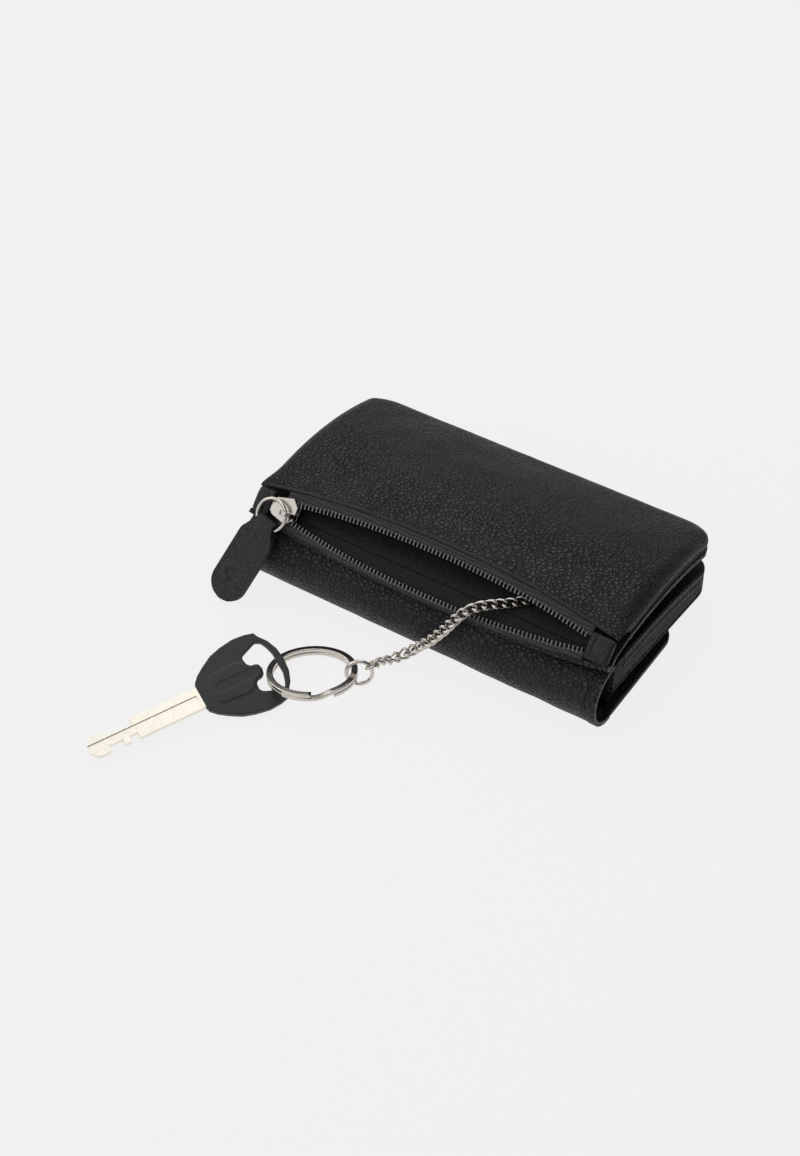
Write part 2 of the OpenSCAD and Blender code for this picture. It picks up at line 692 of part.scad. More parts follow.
// Small ring and leather strap that hold the chain's first link at the pocket's side
anchor_w = 7;
anchor_t = 0.9;
anchor_l = 9;
anchor_ring_r = 1.75;
anchor_wire = 0.7;
anchor_offset = 0.9;
module chain_anchor() {
    start = link_centre(0) - link_frame(0)[0] * (link_a - link_wire / 2);
    hole_x = anchor_offset + anchor_ring_r;
    color([0.1, 0.1, 0.11]) translate(start) rotate(atan2(-link_frame(0)[0][1], -link_frame(0)[0][0])) {
        translate([anchor_offset, 0, 0]) rotate([90, 0, 0]) rotate_extrude($fn = round_fn)
            translate([anchor_ring_r, 0]) circle(anchor_wire / 2, $fn = wire_fn);
        translate([0, 0, -anchor_t / 2]) difference() {
            translate([hole_x - anchor_wire * 1.6, -anchor_w / 2, 0]) cube([anchor_l, anchor_w, anchor_t]);
            translate([hole_x, 0, -cut]) cylinder(anchor_t + 2 * cut, r = anchor_wire / 2 + 2 * run_gap, $fn = wire_fn);
        }
    }
}

// Split ring: two turns of flat wire, one on the other, with a step where they cross
ring_turns = 2;
ring_steps = 30;
ring_gap = 0.04;
// Share of a turn in which the wire climbs to the next turn
step_share = 0.075;
ring_pos = [-17.13, -33.11, 4.28];
ring_lift = 13.3;
ring_axis_turn = 38.4;
ring_start = -63;
ring_mean_r = (ring_d - ring_wire_w) / 2;
module in_ring() {
    translate([ring_pos[0], mouth_y + ring_pos[1], ring_pos[2]])
        rotate(ring_axis_turn) rotate([-ring_lift, 0, 0]) children();
}
module split_ring() {
    rise = ring_wire_h + ring_gap;
    // The wire stays level for most of a turn and climbs to the next within the step
    function level(turn) = rise * smooth01((turn - 1 + step_share) / step_share);
    total = ring_turns * ring_steps;
    last_turn = ring_turns - step_share - ring_gap / 4;
    corners = [[-1, -1], [1, -1], [1, 1], [-1, 1]];
    points = [for (k = [0:total])
        let (turn = last_turn * k / total, z = level(turn) - rise / 2) each [for (corner = corners)
            let (r = ring_mean_r + corner[0] * ring_wire_w / 2)
            [r * cos(360 * turn), r * sin(360 * turn), z + corner[1] * ring_wire_h / 2]]];
    faces = concat(
        [[3, 2, 1, 0], [4 * total, 4 * total + 1, 4 * total + 2, 4 * total + 3]],
        [for (k = [0:total - 1], c = [0:3]) let (c2 = (c + 1) % 4) each [
            [4 * k + c, 4 * k + c2, 4 * k + 4 + c2],
            [4 * k + c, 4 * k + 4 + c2, 4 * k + 4 + c]]]
    );
    color([0.78, 0.75, 0.72]) in_ring() rotate(ring_start)
        polyhedron(points = points, faces = faces, convexity = 6);
}

// Round link that joins the chain to the split ring and stands across its wire
end_link_wire = 1.15;
end_link_r = 3.7;
end_link_turn = -6;
end_link_out = 1.3;
module chain_end_link() {
    color([0.78, 0.75, 0.72]) in_ring() rotate(end_link_turn) translate([ring_mean_r + end_link_out, 0, 0])
        rotate([90, 0, 0]) rotate_extrude($fn = round_fn)
            translate([end_link_r, 0]) circle(end_link_wire / 2, $fn = wire_fn);
}

// Key: the frame has its origin where bow and blade meet, y towards the bow's end.
// The bow leans on the split ring, which runs through its hole.
key_pos = [-37.6, -58.1, 4.28];
key_turn = -26.2;
key_roll = 21.5;
key_pitch = 3.8;
module in_key() {
    translate([key_pos[0], mouth_y + key_pos[1], key_pos[2]])
        rotate([key_pitch, 0, key_turn]) rotate([0, key_roll, 0]) children();
}
groove_share = 0.3;
groove_d = 0.45;
// Cuts on the blade's two edges, as shares of its length from the bow
left_cut_shares = [[0.6, 0.866]];
right_cut_shares = [[0.59, 0.668], [0.725, 0.848]];
module key_blade() {
    half = blade_w / 2;
    groove_w = blade_w * groove_share;
    tip = blade_w * 0.28;
    cut_d = (blade_w - groove_w) / 2 - groove_d;
    color([0.82, 0.79, 0.7]) in_key() difference() {
        translate([0, 0, -blade_t / 2]) linear_extrude(blade_t) difference() {
            polygon([
                [-half, 0], [half, 0], [half, tip - blade_l], [half - tip, -blade_l],
                [tip - half, -blade_l], [-half, tip - blade_l]
            ]);
            for (c = left_cut_shares) translate([-half - cut, -blade_l * c[1]])
                square([cut_d + cut, blade_l * (c[1] - c[0])]);
            for (c = right_cut_shares) translate([half - cut_d, -blade_l * c[1]])
                square([cut_d + cut, blade_l * (c[1] - c[0])]);
        }
        for (face = [-1, 1]) translate([-groove_w / 2, -blade_l - cut, face * blade_t / 2 - groove_d])
            cube([groove_w, blade_l + cut - groove_w / 2, 2 * groove_d]);
    }
}
// Right half of the bow's outline from the blade to the far end, and of its hole
bow_half = [
    [0, 0], [3.2, 0], [4.6, 0.5], [6.2, 2], [8.1, 4.7], [10, 8], [11.1, 11.6], [11.8, 16], [11.5, 19.7],
    [10.8, 22.3], [9.4, 22.9], [6.9, 24.8], [3.8, 26], [0, 26.4]
];
hole_half = [
    [0, 19.5], [1.6, 19.1], [2.1, 18.3], [2.3, 16.9], [3.3, 16], [5.2, 15.8], [6.2, 16.5], [7.6, 19.9],
    [8.2, 21.4], [7.4, 22.9], [5.6, 23.7], [3.2, 24.35], [0, 24.4]
];
// Raised kite in the middle of both faces, with an oblong field on it
kite_half = [[0, 3.4], [3.2, 3.8], [4.4, 5], [4.6, 9], [5, 13.5], [3.6, 15.2], [2.1, 16.2], [1.4, 18.4], [0, 18.8]];
kite_rise = 0.25;
field_r = 1.5;
field_from = 6.3;
field_to = 16.6;
module key_bow() {
    core_t = bow_t - 2 * kite_rise;
    color([0.2, 0.2, 0.21]) in_key() difference() {
        union() {
            linear_extrude(core_t, center = true) difference() {
                both_sides() polygon(bow_half);
                both_sides() polygon(hole_half);
            }
            linear_extrude(bow_t, center = true) both_sides() polygon(kite_half);
        }
        for (face = [-1, 1]) translate([0, 0, face * bow_t / 2]) linear_extrude(kite_rise, center = true) {
            translate([-field_r, field_from]) square([2 * field_r, field_to - field_from]);
            translate([0, field_from]) circle(field_r, $fn = wire_fn);
            translate([0, field_to]) circle(field_r, $fn = wire_fn);
        }
    }
}

top_panel();
pocket_back_panel();
pocket_lining();
zip_tape_upper();
zip_tape_lower();
zip_teeth_upper();
zip_teeth_lower();
zip_end_tab_left();
zip_end_tab_right();
slider_body();
puller_ring();
pull_tab();
body_top_panel();
body_padding();
body_base_panel();
fold_spine();
fold_lining();
flap();
flap_lining();
snap_stud();
snap_socket();
hook_rail();
rail_rivets();
hook_pins();
key_hook_1();
key_hook_2();
key_hook_3();
key_hook_4();
key_hook_5();
key_hook_6();
chain_anchor();
chain_inner_links();
chain_outer_links();
chain_end_link();
split_ring();
key_blade();
key_bow();
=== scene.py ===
# A leather key case that lies on its flap, with the zip of its top pocket half open and a
# curb chain hanging out to a split ring and one key. Each section below dresses one piece,
# in the order in which the case is put together.
import math

import bmesh
import bpy
from mathutils import Matrix, Vector, noise


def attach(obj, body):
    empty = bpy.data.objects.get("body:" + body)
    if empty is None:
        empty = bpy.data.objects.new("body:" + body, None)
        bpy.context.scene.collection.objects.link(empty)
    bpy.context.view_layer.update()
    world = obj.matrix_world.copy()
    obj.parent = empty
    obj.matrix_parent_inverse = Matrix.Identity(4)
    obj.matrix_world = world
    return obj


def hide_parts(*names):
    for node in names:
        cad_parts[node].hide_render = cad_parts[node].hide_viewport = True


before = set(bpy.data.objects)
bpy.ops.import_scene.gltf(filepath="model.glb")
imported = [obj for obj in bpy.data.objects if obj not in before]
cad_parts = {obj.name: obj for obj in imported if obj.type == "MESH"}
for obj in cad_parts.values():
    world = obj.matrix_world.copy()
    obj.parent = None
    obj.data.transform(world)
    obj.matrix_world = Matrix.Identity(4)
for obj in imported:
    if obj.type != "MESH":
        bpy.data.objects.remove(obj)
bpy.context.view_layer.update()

MM = 0.001


def mm(x, y, z):
    """A place or size given in millimetres, in Blender's metres."""
    return Vector((x, y, z)) * MM


# Camera at the photograph's angle: above the front right corner, looking down at 43 degrees
# through a long lens, rolled by less than a degree.
LOOK_DOWN = 0.755077
LOOK_LEFT = 0.594137
LOOK_ROLL = -0.01221
LENS_MM = 62.52
SENSOR_MM = 36
CAMERA_AT = (225.1, -368.7, 413.0)
right = Vector((math.cos(LOOK_LEFT), math.sin(LOOK_LEFT), 0))
ahead = Vector((
    -math.sin(LOOK_LEFT) * math.cos(LOOK_DOWN),
    math.cos(LOOK_LEFT) * math.cos(LOOK_DOWN),
    -math.sin(LOOK_DOWN),
))
above = right.cross(ahead)
camera_x = right * math.cos(LOOK_ROLL) + above * math.sin(LOOK_ROLL)
camera_y = above * math.cos(LOOK_ROLL) - right * math.sin(LOOK_ROLL)
lens = bpy.data.cameras.new("camera")
lens.lens = LENS_MM
lens.sensor_width = SENSOR_MM
lens.clip_start = 0.05
lens.clip_end = 10
camera = bpy.data.objects.new("camera", lens)
bpy.context.scene.collection.objects.link(camera)
turn = Matrix((camera_x, camera_y, -ahead)).transposed().to_4x4()
camera.matrix_world = Matrix.Translation(mm(*CAMERA_AT)) @ turn
bpy.context.scene.camera = camera

# Studio: a plain pale sweep under soft boxes. The floor shows its own grey to the camera and
# to mirroring metal, and keeps the contact shadow of the case.
WORLD_TINT = (0.9, 0.92, 0.95, 1)
WORLD_STRENGTH = 0.22
LAMP_AIM = Vector((0, 0, 0.01))
FLOOR_SHOWN = (0.895, 0.895, 0.895, 1)
FLOOR_LIT = (0.86, 0.86, 0.86, 1)
FLOOR_SHOWN_SHARE = 0.93
FLOOR_HALF = 4
bpy.context.scene.view_settings.view_transform = "Standard"
world = bpy.data.worlds.new("studio")
bpy.context.scene.world = world
world.use_nodes = True
sky = world.node_tree.nodes["Background"]
sky.inputs["Color"].default_value = WORLD_TINT
sky.inputs["Strength"].default_value = WORLD_STRENGTH


def softbox(name, place, size, watts):
    """A rectangular lamp that looks at the case."""
    lamp = bpy.data.lights.new(name, "AREA")
    lamp.shape = "RECTANGLE"
    lamp.size, lamp.size_y = size
    lamp.energy = watts
    box = bpy.data.objects.new(name, lamp)
    bpy.context.scene.collection.objects.link(box)
    box.location = place
    box.rotation_mode = "QUATERNION"
    box.rotation_quaternion = (Vector(place) - LAMP_AIM).to_track_quat("Z", "Y")


softbox("softbox_back", (-0.44, 0.48, 0.66), (0.9, 0.65), 2.2)
softbox("softbox_left", (-0.75, -0.1, 0.45), (0.3, 0.5), 1.2)
softbox("softbox_above", (0.04, 0.0, 0.9), (0.4, 0.4), 0.62)
softbox("lamp_above", (-0.12, 0.42, 0.85), (0.5, 0.4), 1.0)
softbox("lamp_front", (-0.3, -0.7, 0.6), (1.2, 0.9), 3.6)


def new_object(name, mesh_builder):
    """Makes a smooth shaded object from a bmesh and frees the bmesh."""
    mesh = bpy.data.meshes.new(name)
    mesh_builder.to_mesh(mesh)
    mesh_builder.free()
    made = bpy.data.objects.new(name, mesh)
    bpy.context.scene.collection.objects.link(made)
    for polygon in mesh.polygons:
        polygon.use_smooth = True
    return made


def blank_material(name):
    """A new material with an empty node tree."""
    material = bpy.data.materials.new(name)
    material.use_nodes = True
    material.node_tree.nodes.clear()
    return material, material.node_tree


def node(tree, kind, **values):
    """Adds a shader node; each value goes to the input of that name, or else the property."""
    made = tree.nodes.new(kind)
    for key, value in values.items():
        if key in made.inputs.keys():
            made.inputs[key].default_value = value
        else:
            setattr(made, key, value)
    return made


sweep = bmesh.new()
bmesh.ops.create_grid(sweep, x_segments=2, y_segments=2, size=FLOOR_HALF)
floor = new_object("floor", sweep)
paper, tree = blank_material("sweep_paper")
shown = node(tree, "ShaderNodeEmission", Color=FLOOR_SHOWN, Strength=1)
lit = node(tree, "ShaderNodeBsdfDiffuse", Color=FLOOR_LIT)
rays = node(tree, "ShaderNodeLightPath")
mirrored = node(tree, "ShaderNodeMath", operation="MAXIMUM")
seen = node(tree, "ShaderNodeMath", operation="MAXIMUM")
share = node(tree, "ShaderNodeMath", operation="MULTIPLY")
share.inputs[1].default_value = FLOOR_SHOWN_SHARE
mix = node(tree, "ShaderNodeMixShader")
sink = node(tree, "ShaderNodeOutputMaterial")
tree.links.new(rays.outputs["Is Glossy Ray"], mirrored.inputs[0])
tree.links.new(rays.outputs["Is Transmission Ray"], mirrored.inputs[1])
tree.links.new(rays.outputs["Is Camera Ray"], seen.inputs[0])
tree.links.new(mirrored.outputs[0], seen.inputs[1])
tree.links.new(seen.outputs[0], share.inputs[0])
tree.links.new(share.outputs[0], mix.inputs["Fac"])
tree.links.new(lit.outputs[0], mix.inputs[1])
tree.links.new(shown.outputs[0], mix.inputs[2])
tree.links.new(mix.outputs[0], sink.inputs["Surface"])
floor.data.materials.append(paper)

# Flap: a flat leather panel that closes the key compartment and lies on the table, with its
# free corners rounded. Pebbled full-grain leather, drum dyed black.
CASE_W = 120.0
HALF_W = CASE_W / 2
CASE_D = 62.6
FOLD_R = 10.2
FOLD_Y = -20.5
REAR_Y = FOLD_Y + CASE_D
CORNER_R = 10.0
LEATHER_T = 1.4
FLAP_REAR_Y = 20.5
FLAP_GAP = 0.3
FLAP_LOW_Z, FLAP_HIGH_Z = 0.02, 1.8
FLAP_CORNER_R = 8
DOME_PART = -0.25
PORE_PART = 0.06


def leather(name, hollow_shade_colour, light, cell, depth, rough, crease=0.12, stretch=(1, 1, 1), gloss=0.32):
    """Grain of rounded pebbles between creases, with pores and patches of softer grain; the
    creases are painted darker as shade.
    """
    material, tree = blank_material(name)
    place = node(tree, "ShaderNodeTexCoord")
    fit = node(tree, "ShaderNodeMapping", Scale=stretch)
    drift = node(tree, "ShaderNodeTexNoise", Scale=0.35 / cell, Detail=2.0)
    offset = node(tree, "ShaderNodeVectorMath", operation="MULTIPLY_ADD")
    offset.inputs[1].default_value = (cell * 0.9,) * 3
    pebbles = node(tree, "ShaderNodeTexVoronoi", feature="DISTANCE_TO_EDGE", Scale=1 / cell)
    rounded = node(tree, "ShaderNodeMapRange", interpolation_type="SMOOTHSTEP")
    rounded.inputs["From Max"].default_value = crease * 2.4
    domes = node(tree, "ShaderNodeTexVoronoi", feature="SMOOTH_F1", Scale=1 / cell)
    pores = node(tree, "ShaderNodeTexNoise", Scale=5.5 / cell, Detail=3.0)
    patches = node(tree, "ShaderNodeTexNoise", Scale=0.12 / cell, Detail=3.0)
    soften = node(tree, "ShaderNodeMapRange")
    soften.inputs["From Min"].default_value = 0.3
    soften.inputs["From Max"].default_value = 0.7
    soften.inputs["To Min"].default_value = 0.45
    soften.inputs["To Max"].default_value = 1.0
    dome_part = node(tree, "ShaderNodeMath", operation="MULTIPLY_ADD")
    dome_part.inputs[1].default_value = DOME_PART
    pore_part = node(tree, "ShaderNodeMath", operation="MULTIPLY_ADD")
    pore_part.inputs[1].default_value = PORE_PART
    height = node(tree, "ShaderNodeMath", operation="MULTIPLY")
    bump = node(tree, "ShaderNodeBump", Strength=1.0, Distance=depth)
    # Painted shade: the creases between the pebbles are coloured darker than the pebbles' tops.
    hollow_shade_mix = node(tree, "ShaderNodeMix", data_type="RGBA")
    hollow_shade_mix.inputs[6].default_value = (*hollow_shade_colour, 1)
    hollow_shade_mix.inputs[7].default_value = (*light, 1)
    worn = node(tree, "ShaderNodeMapRange")
    worn.inputs["To Min"].default_value = min(1, rough + 0.14)
    worn.inputs["To Max"].default_value = rough - 0.03
    skin = node(tree, "ShaderNodeBsdfPrincipled")
    skin.inputs["Specular IOR Level"].default_value = gloss
    out = node(tree, "ShaderNodeOutputMaterial")
    link = tree.links.new
    link(place.outputs["Object"], fit.inputs["Vector"])
    link(fit.outputs["Vector"], drift.inputs["Vector"])
    link(drift.outputs["Color"], offset.inputs[0])
    link(fit.outputs["Vector"], offset.inputs[2])
    for grain in (pebbles, domes, pores):
        link(offset.outputs["Vector"], grain.inputs["Vector"])
    link(fit.outputs["Vector"], patches.inputs["Vector"])
    link(pebbles.outputs["Distance"], rounded.inputs["Value"])
    link(domes.outputs["Distance"], dome_part.inputs[0])
    link(rounded.outputs["Result"], dome_part.inputs[2])
    link(pores.outputs["Fac"], pore_part.inputs[0])
    link(dome_part.outputs[0], pore_part.inputs[2])
    link(patches.outputs["Fac"], soften.inputs["Value"])
    link(pore_part.outputs[0], height.inputs[0])
    link(soften.outputs["Result"], height.inputs[1])
    link(height.outputs[0], bump.inputs["Height"])
    link(rounded.outputs["Result"], hollow_shade_mix.inputs[0])
    link(rounded.outputs["Result"], worn.inputs["Value"])
    link(hollow_shade_mix.outputs[2], skin.inputs["Base Color"])
    link(worn.outputs["Result"], skin.inputs["Roughness"])
    link(bump.outputs["Normal"], skin.inputs["Normal"])
    link(skin.outputs[0], out.inputs["Surface"])
    return material


# Each leather's first colour is painted shade in its creases; the second is its pebbles' own
# tone.
pebbled = leather(
    "pebbled_leather", (0.001, 0.001, 0.0013), (0.0072, 0.0082, 0.01),
    0.00145, 0.0003, 0.42, crease=0.085, stretch=(1.0, 1.3, 1.0))
smooth_leather = leather(
    "smooth_leather", (0.008, 0.0085, 0.0095), (0.015, 0.016, 0.018), 0.0012, 0.00008, 0.4)
side_leather = leather(
    "side_leather", (0.002, 0.002, 0.0024), (0.006, 0.0064, 0.0074), 0.0012, 0.00012, 0.6,
    gloss=0.16)
# Painted light: this copy of the hide has a finer grain and is coloured lighter than the pebbled
# leather, where the fold faces the front lamp.
fine_leather_painted_light = leather(
    "fine_leather_painted_light", (0.002, 0.0022, 0.0025), (0.015, 0.016, 0.018), 0.0015, 0.0004, 0.47,
    crease=0.09, stretch=(1.0, 1.15, 1.15))


def leather_sheet(name, cols, rows, place, thickness, edge):
    """A cut panel: a grid laid on its surface, given the hide's thickness and a rounded edge."""
    sheet = bmesh.new()
    bmesh.ops.create_grid(sheet, x_segments=cols, y_segments=rows, size=1)
    for corner in sheet.verts:
        corner.co = place((corner.co.x + 1) / 2, (corner.co.y + 1) / 2)
    panel = new_object(name, sheet)
    shell = panel.modifiers.new("thickness", "SOLIDIFY")
    shell.thickness = thickness * MM
    shell.offset = -1
    shell.use_even_offset = True
    soft = panel.modifiers.new("edge", "BEVEL")
    soft.width = edge * MM
    soft.segments = 3
    soft.limit_method = "ANGLE"
    soft.angle_limit = math.radians(50)
    return panel


def rounded_plate(name, width, front, rear, low, high, rear_r, edge):
    """A flat panel with round rear corners: its outline extruded, then its edges bevelled."""
    plate = bmesh.new()
    corners = [plate.verts.new(mm(x, y, low)) for x, y in (
        (-width / 2, front), (width / 2, front), (width / 2, rear), (-width / 2, rear))]
    plate.faces.new(corners)
    bmesh.ops.bevel(
        plate, geom=corners[2:], offset=rear_r * MM, offset_type="OFFSET", segments=10,
        profile=0.5, affect="VERTICES", material=-1)
    raised = bmesh.ops.extrude_face_region(plate, geom=plate.faces[:])
    bmesh.ops.translate(
        plate, vec=mm(0, 0, high - low),
        verts=[v for v in raised["geom"] if isinstance(v, bmesh.types.BMVert)])
    bmesh.ops.recalc_face_normals(plate, faces=plate.faces[:])
    rims = [e for e in plate.edges if e.is_manifold and e.calc_face_angle() > 1.2]
    bmesh.ops.bevel(
        plate, geom=rims, offset=edge * MM, segments=3, profile=0.5, affect="EDGES",
        material=-1)
    bmesh.ops.recalc_face_normals(plate, faces=plate.faces[:])
    return new_object(name, plate)


def dress(piece, material, body, slot, *nodes):
    """Gives a finished piece its material, the body it rides on and the solids it stands for."""
    piece.data.materials.clear()
    piece.data.materials.append(material)
    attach(piece, body)
    if nodes:
        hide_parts(*nodes)
    return piece


flap = rounded_plate(
    "flap_leather", CASE_W, FOLD_Y + FLAP_GAP, FLAP_REAR_Y, FLAP_LOW_Z, FLAP_HIGH_Z,
    FLAP_CORNER_R, 0.5)
dress(flap, pebbled, "flap", "edge_leather", "flap")

# Lining of the flap: black woven cloth glued to the leather's back, with the socket of the
# snap fastener riveted through it.
def woven(name, hollow_shade_colour, light, thread, depth, rough, fuzz):
    """Plain weave: two sets of threads that pass over and under each other, a little hairy; where
    the threads dip they are painted darker as shade.
    """
    material, tree = blank_material(name)
    place = node(tree, "ShaderNodeTexCoord")
    along, across = (
        node(tree, "ShaderNodeTexWave", bands_direction=way, Scale=0.31 / thread, Distortion=1.2)
        for way in "XY")
    hair = node(tree, "ShaderNodeTexNoise", Scale=1.6 / thread, Detail=4.0)
    cross = node(tree, "ShaderNodeMath", operation="MAXIMUM")
    rough_height = node(tree, "ShaderNodeMath", operation="MULTIPLY_ADD")
    rough_height.inputs[1].default_value = fuzz
    bump = node(tree, "ShaderNodeBump", Strength=1.0, Distance=depth)
    hollow_shade_mix = node(tree, "ShaderNodeMix", data_type="RGBA")
    hollow_shade_mix.inputs[6].default_value = (*hollow_shade_colour, 1)
    hollow_shade_mix.inputs[7].default_value = (*light, 1)
    cloth = node(tree, "ShaderNodeBsdfPrincipled", Roughness=rough)
    cloth.inputs["Sheen Weight"].default_value = 0.12
    cloth.inputs["Sheen Roughness"].default_value = 0.5
    cloth.inputs["Specular IOR Level"].default_value = 0.25
    out = node(tree, "ShaderNodeOutputMaterial")
    link = tree.links.new
    for pattern in (along, across, hair):
        link(place.outputs["Object"], pattern.inputs["Vector"])
    link(along.outputs["Fac"], cross.inputs[0])
    link(across.outputs["Fac"], cross.inputs[1])
    link(hair.outputs["Fac"], rough_height.inputs[0])
    link(cross.outputs[0], rough_height.inputs[2])
    link(rough_height.outputs[0], bump.inputs["Height"])
    # Painted shade: the threads are coloured darker where the weave dips, and the hairs add a
    # random tone.
    link(rough_height.outputs[0], hollow_shade_mix.inputs[0])
    link(hollow_shade_mix.outputs[2], cloth.inputs["Base Color"])
    link(bump.outputs["Normal"], cloth.inputs["Normal"])
    link(cloth.outputs[0], out.inputs["Surface"])
    return material


# Each cloth's first colour is painted shade in the weave's hollows; the hairs vary its tone at
# random.
lining_cloth = woven(
    "lining_cloth", (0.0008, 0.0008, 0.001), (0.006, 0.006, 0.007), 0.0006, 0.0003, 0.75, 0.6)
CLOTH_INSET = 3.0
FLAP_CLOTH_LOW_Z, FLAP_CLOTH_HIGH_Z = 1.81, 2.8
flap_lining = rounded_plate(
    "flap_lining_cloth", CASE_W - 2 * CLOTH_INSET, FOLD_Y + CLOTH_INSET,
    FLAP_REAR_Y - CLOTH_INSET, FLAP_CLOTH_LOW_Z, FLAP_CLOTH_HIGH_Z,
    FLAP_CORNER_R - CLOTH_INSET, 0.3)
dress(flap_lining, lining_cloth, "flap", "lining", "flap_lining")


def soft_edge(node_name, width):
    """Breaks the sharp edges of a turned or stamped piece that comes from the frame."""
    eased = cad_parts[node_name].modifiers.new("eased_edge", "BEVEL")
    eased.width = width * MM
    eased.segments = 2
    eased.limit_method = "ANGLE"
    eased.angle_limit = math.radians(38)
    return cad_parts[node_name]


def metal(name, colour, rough, streak, cell, spread=0.06, scratched=0.000012):
    """Plated or rolled metal: an even colour, a faint cloud in the polish and fine scratches."""
    material, tree = blank_material(name)
    place = node(tree, "ShaderNodeTexCoord")
    fit = node(tree, "ShaderNodeMapping", Scale=streak)
    cloud = node(tree, "ShaderNodeTexNoise", Scale=0.4 / cell, Detail=2.0)
    scratch = node(tree, "ShaderNodeTexNoise", Scale=1 / cell, Detail=4.0)
    polish = node(tree, "ShaderNodeMapRange")
    polish.inputs["To Min"].default_value = max(0.03, rough - spread)
    polish.inputs["To Max"].default_value = rough + spread
    bump = node(tree, "ShaderNodeBump", Strength=1.0, Distance=scratched)
    plate = node(tree, "ShaderNodeBsdfPrincipled", Metallic=1.0)
    plate.inputs["Base Color"].default_value = (*colour, 1)
    out = node(tree, "ShaderNodeOutputMaterial")
    link = tree.links.new
    link(place.outputs["Object"], fit.inputs["Vector"])
    link(place.outputs["Object"], cloud.inputs["Vector"])
    link(fit.outputs["Vector"], scratch.inputs["Vector"])
    link(cloud.outputs["Fac"], polish.inputs["Value"])
    link(polish.outputs["Result"], plate.inputs["Roughness"])
    link(scratch.outputs["Fac"], bump.inputs["Height"])
    link(bump.outputs["Normal"], plate.inputs["Normal"])
    link(plate.outputs[0], out.inputs["Surface"])
    return material


steel = metal("stamped_steel", (0.6, 0.59, 0.57), 0.24, (1, 6, 1), 0.0006)


def finish_frame_piece(node_name, material, width=None):
    """Gives a piece from the frame its material and, if a width is given, softer edges."""
    piece = soft_edge(node_name, width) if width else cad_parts[node_name]
    piece.data.materials.clear()
    piece.data.materials.append(material)
    return piece


finish_frame_piece("snap_socket", steel, 0.25)

# Front fold: the leather that runs on round the front from the body to the flap, with its
# ends turned in three millimetres and stitched down.
def rumple(point, size, depth, seed=0.0):
    """Soft hollows that a hide takes from handling, as a shift along its surface's normal."""
    return depth * noise.noise(Vector(point) / size + Vector((seed, seed * 0.7, 0)))


def spread_out(share):
    """Packs a grid's lines closer together at both ends of the case."""
    return HALF_W * math.sin(math.pi / 2 * (2 * share - 1))


def on_fold(x, angle, radius):
    """A place on a round about the fold's axis; the angle is 0 where the fold bulges most."""
    return mm(x, FOLD_Y - radius * math.cos(angle), FOLD_R + radius * math.sin(angle))


TURN_IN = 3.2
TURN_RIDGE = 0.18
STITCH_INSET = TURN_IN - 0.3
STITCH_GROOVE = 0.28
STITCH_GROOVE_W = 0.38


def fold_point(s, t):
    """The fold's outer face: a ridge over each turned end and a groove along its stitches."""
    x = spread_out(s)
    angle = math.pi * (t - 0.5)
    from_end = HALF_W - abs(x)
    ridge = TURN_RIDGE if from_end < TURN_IN - 0.6 else 0.0
    groove = STITCH_GROOVE * math.exp(-((from_end - STITCH_INSET) / STITCH_GROOVE_W) ** 2)
    r = FOLD_R + ridge - groove
    r += rumple((x, angle * FOLD_R, 0), 9.0, 0.22) * min(1, from_end / 6)
    return on_fold(x, angle, r)


# The fold takes the lighter copy of the hide, its tone painted light.
fold = leather_sheet("fold_leather", 150, 44, fold_point, LEATHER_T, 0.5)
dress(fold, fine_leather_painted_light, "case", "edge_leather", "fold_spine")
for point in fold.data.vertices:
    point.co.z = max(point.co.z, FLAP_LOW_Z * MM)
CLOTH_T = 0.65
FOLD_CLOTH_R = FOLD_R - LEATHER_T - 0.08
fold_cloth = leather_sheet(
    "fold_lining_cloth", 60, 30,
    lambda s, t: on_fold(
        (2 * s - 1) * (HALF_W - CLOTH_INSET), math.pi * (t - 0.5), FOLD_CLOTH_R),
    CLOTH_T, 0.2)
dress(fold_cloth, lining_cloth, "case", "lining", "fold_lining")

thread_black, tree = blank_material("waxed_thread")
twist_place = node(tree, "ShaderNodeTexCoord")
ply = node(tree, "ShaderNodeTexNoise", Scale=2600.0, Detail=2.0)
ply_bump = node(tree, "ShaderNodeBump", Strength=1.0, Distance=0.00004)
wax = node(tree, "ShaderNodeBsdfPrincipled", Roughness=0.5)
wax.inputs["Base Color"].default_value = (0.014, 0.014, 0.016, 1)
thread_out = node(tree, "ShaderNodeOutputMaterial")
tree.links.new(twist_place.outputs["Object"], ply.inputs["Vector"])
tree.links.new(ply.outputs["Fac"], ply_bump.inputs["Height"])
tree.links.new(ply_bump.outputs["Normal"], wax.inputs["Normal"])
tree.links.new(wax.outputs[0], thread_out.inputs["Surface"])


def stitch_row(name, path, body, slot, pitch=2.6, length=2.0, width=0.42, sink=0.06):
    """Lockstitches along a line of points with normals: short capsules half sunk in leather."""
    rows = bmesh.new()
    legs = [(path[i + 1][0] - path[i][0]).length for i in range(len(path) - 1)]
    total = sum(legs)
    count = max(1, int(total / (pitch * MM)))
    for n in range(count):
        at = total * (n + 0.5) / count
        i = 0
        while i < len(legs) - 1 and at > legs[i]:
            at -= legs[i]
            i += 1
        k = at / legs[i]
        centre = path[i][0].lerp(path[i + 1][0], k)
        normal = path[i][1].lerp(path[i + 1][1], k).normalized()
        along = (path[i + 1][0] - path[i][0]).normalized()
        side = normal.cross(along).normalized()
        basis = Matrix((along, side, along.cross(side))).transposed().to_4x4()
        size = Matrix.Diagonal((length * MM / 2, width * MM / 2, width * MM / 2, 1))
        place = Matrix.Translation(centre - normal * sink * MM) @ basis @ size
        bmesh.ops.create_uvsphere(rows, u_segments=8, v_segments=5, radius=1, matrix=place)
    made = new_object(name, rows)
    return dress(made, thread_black, body, slot)


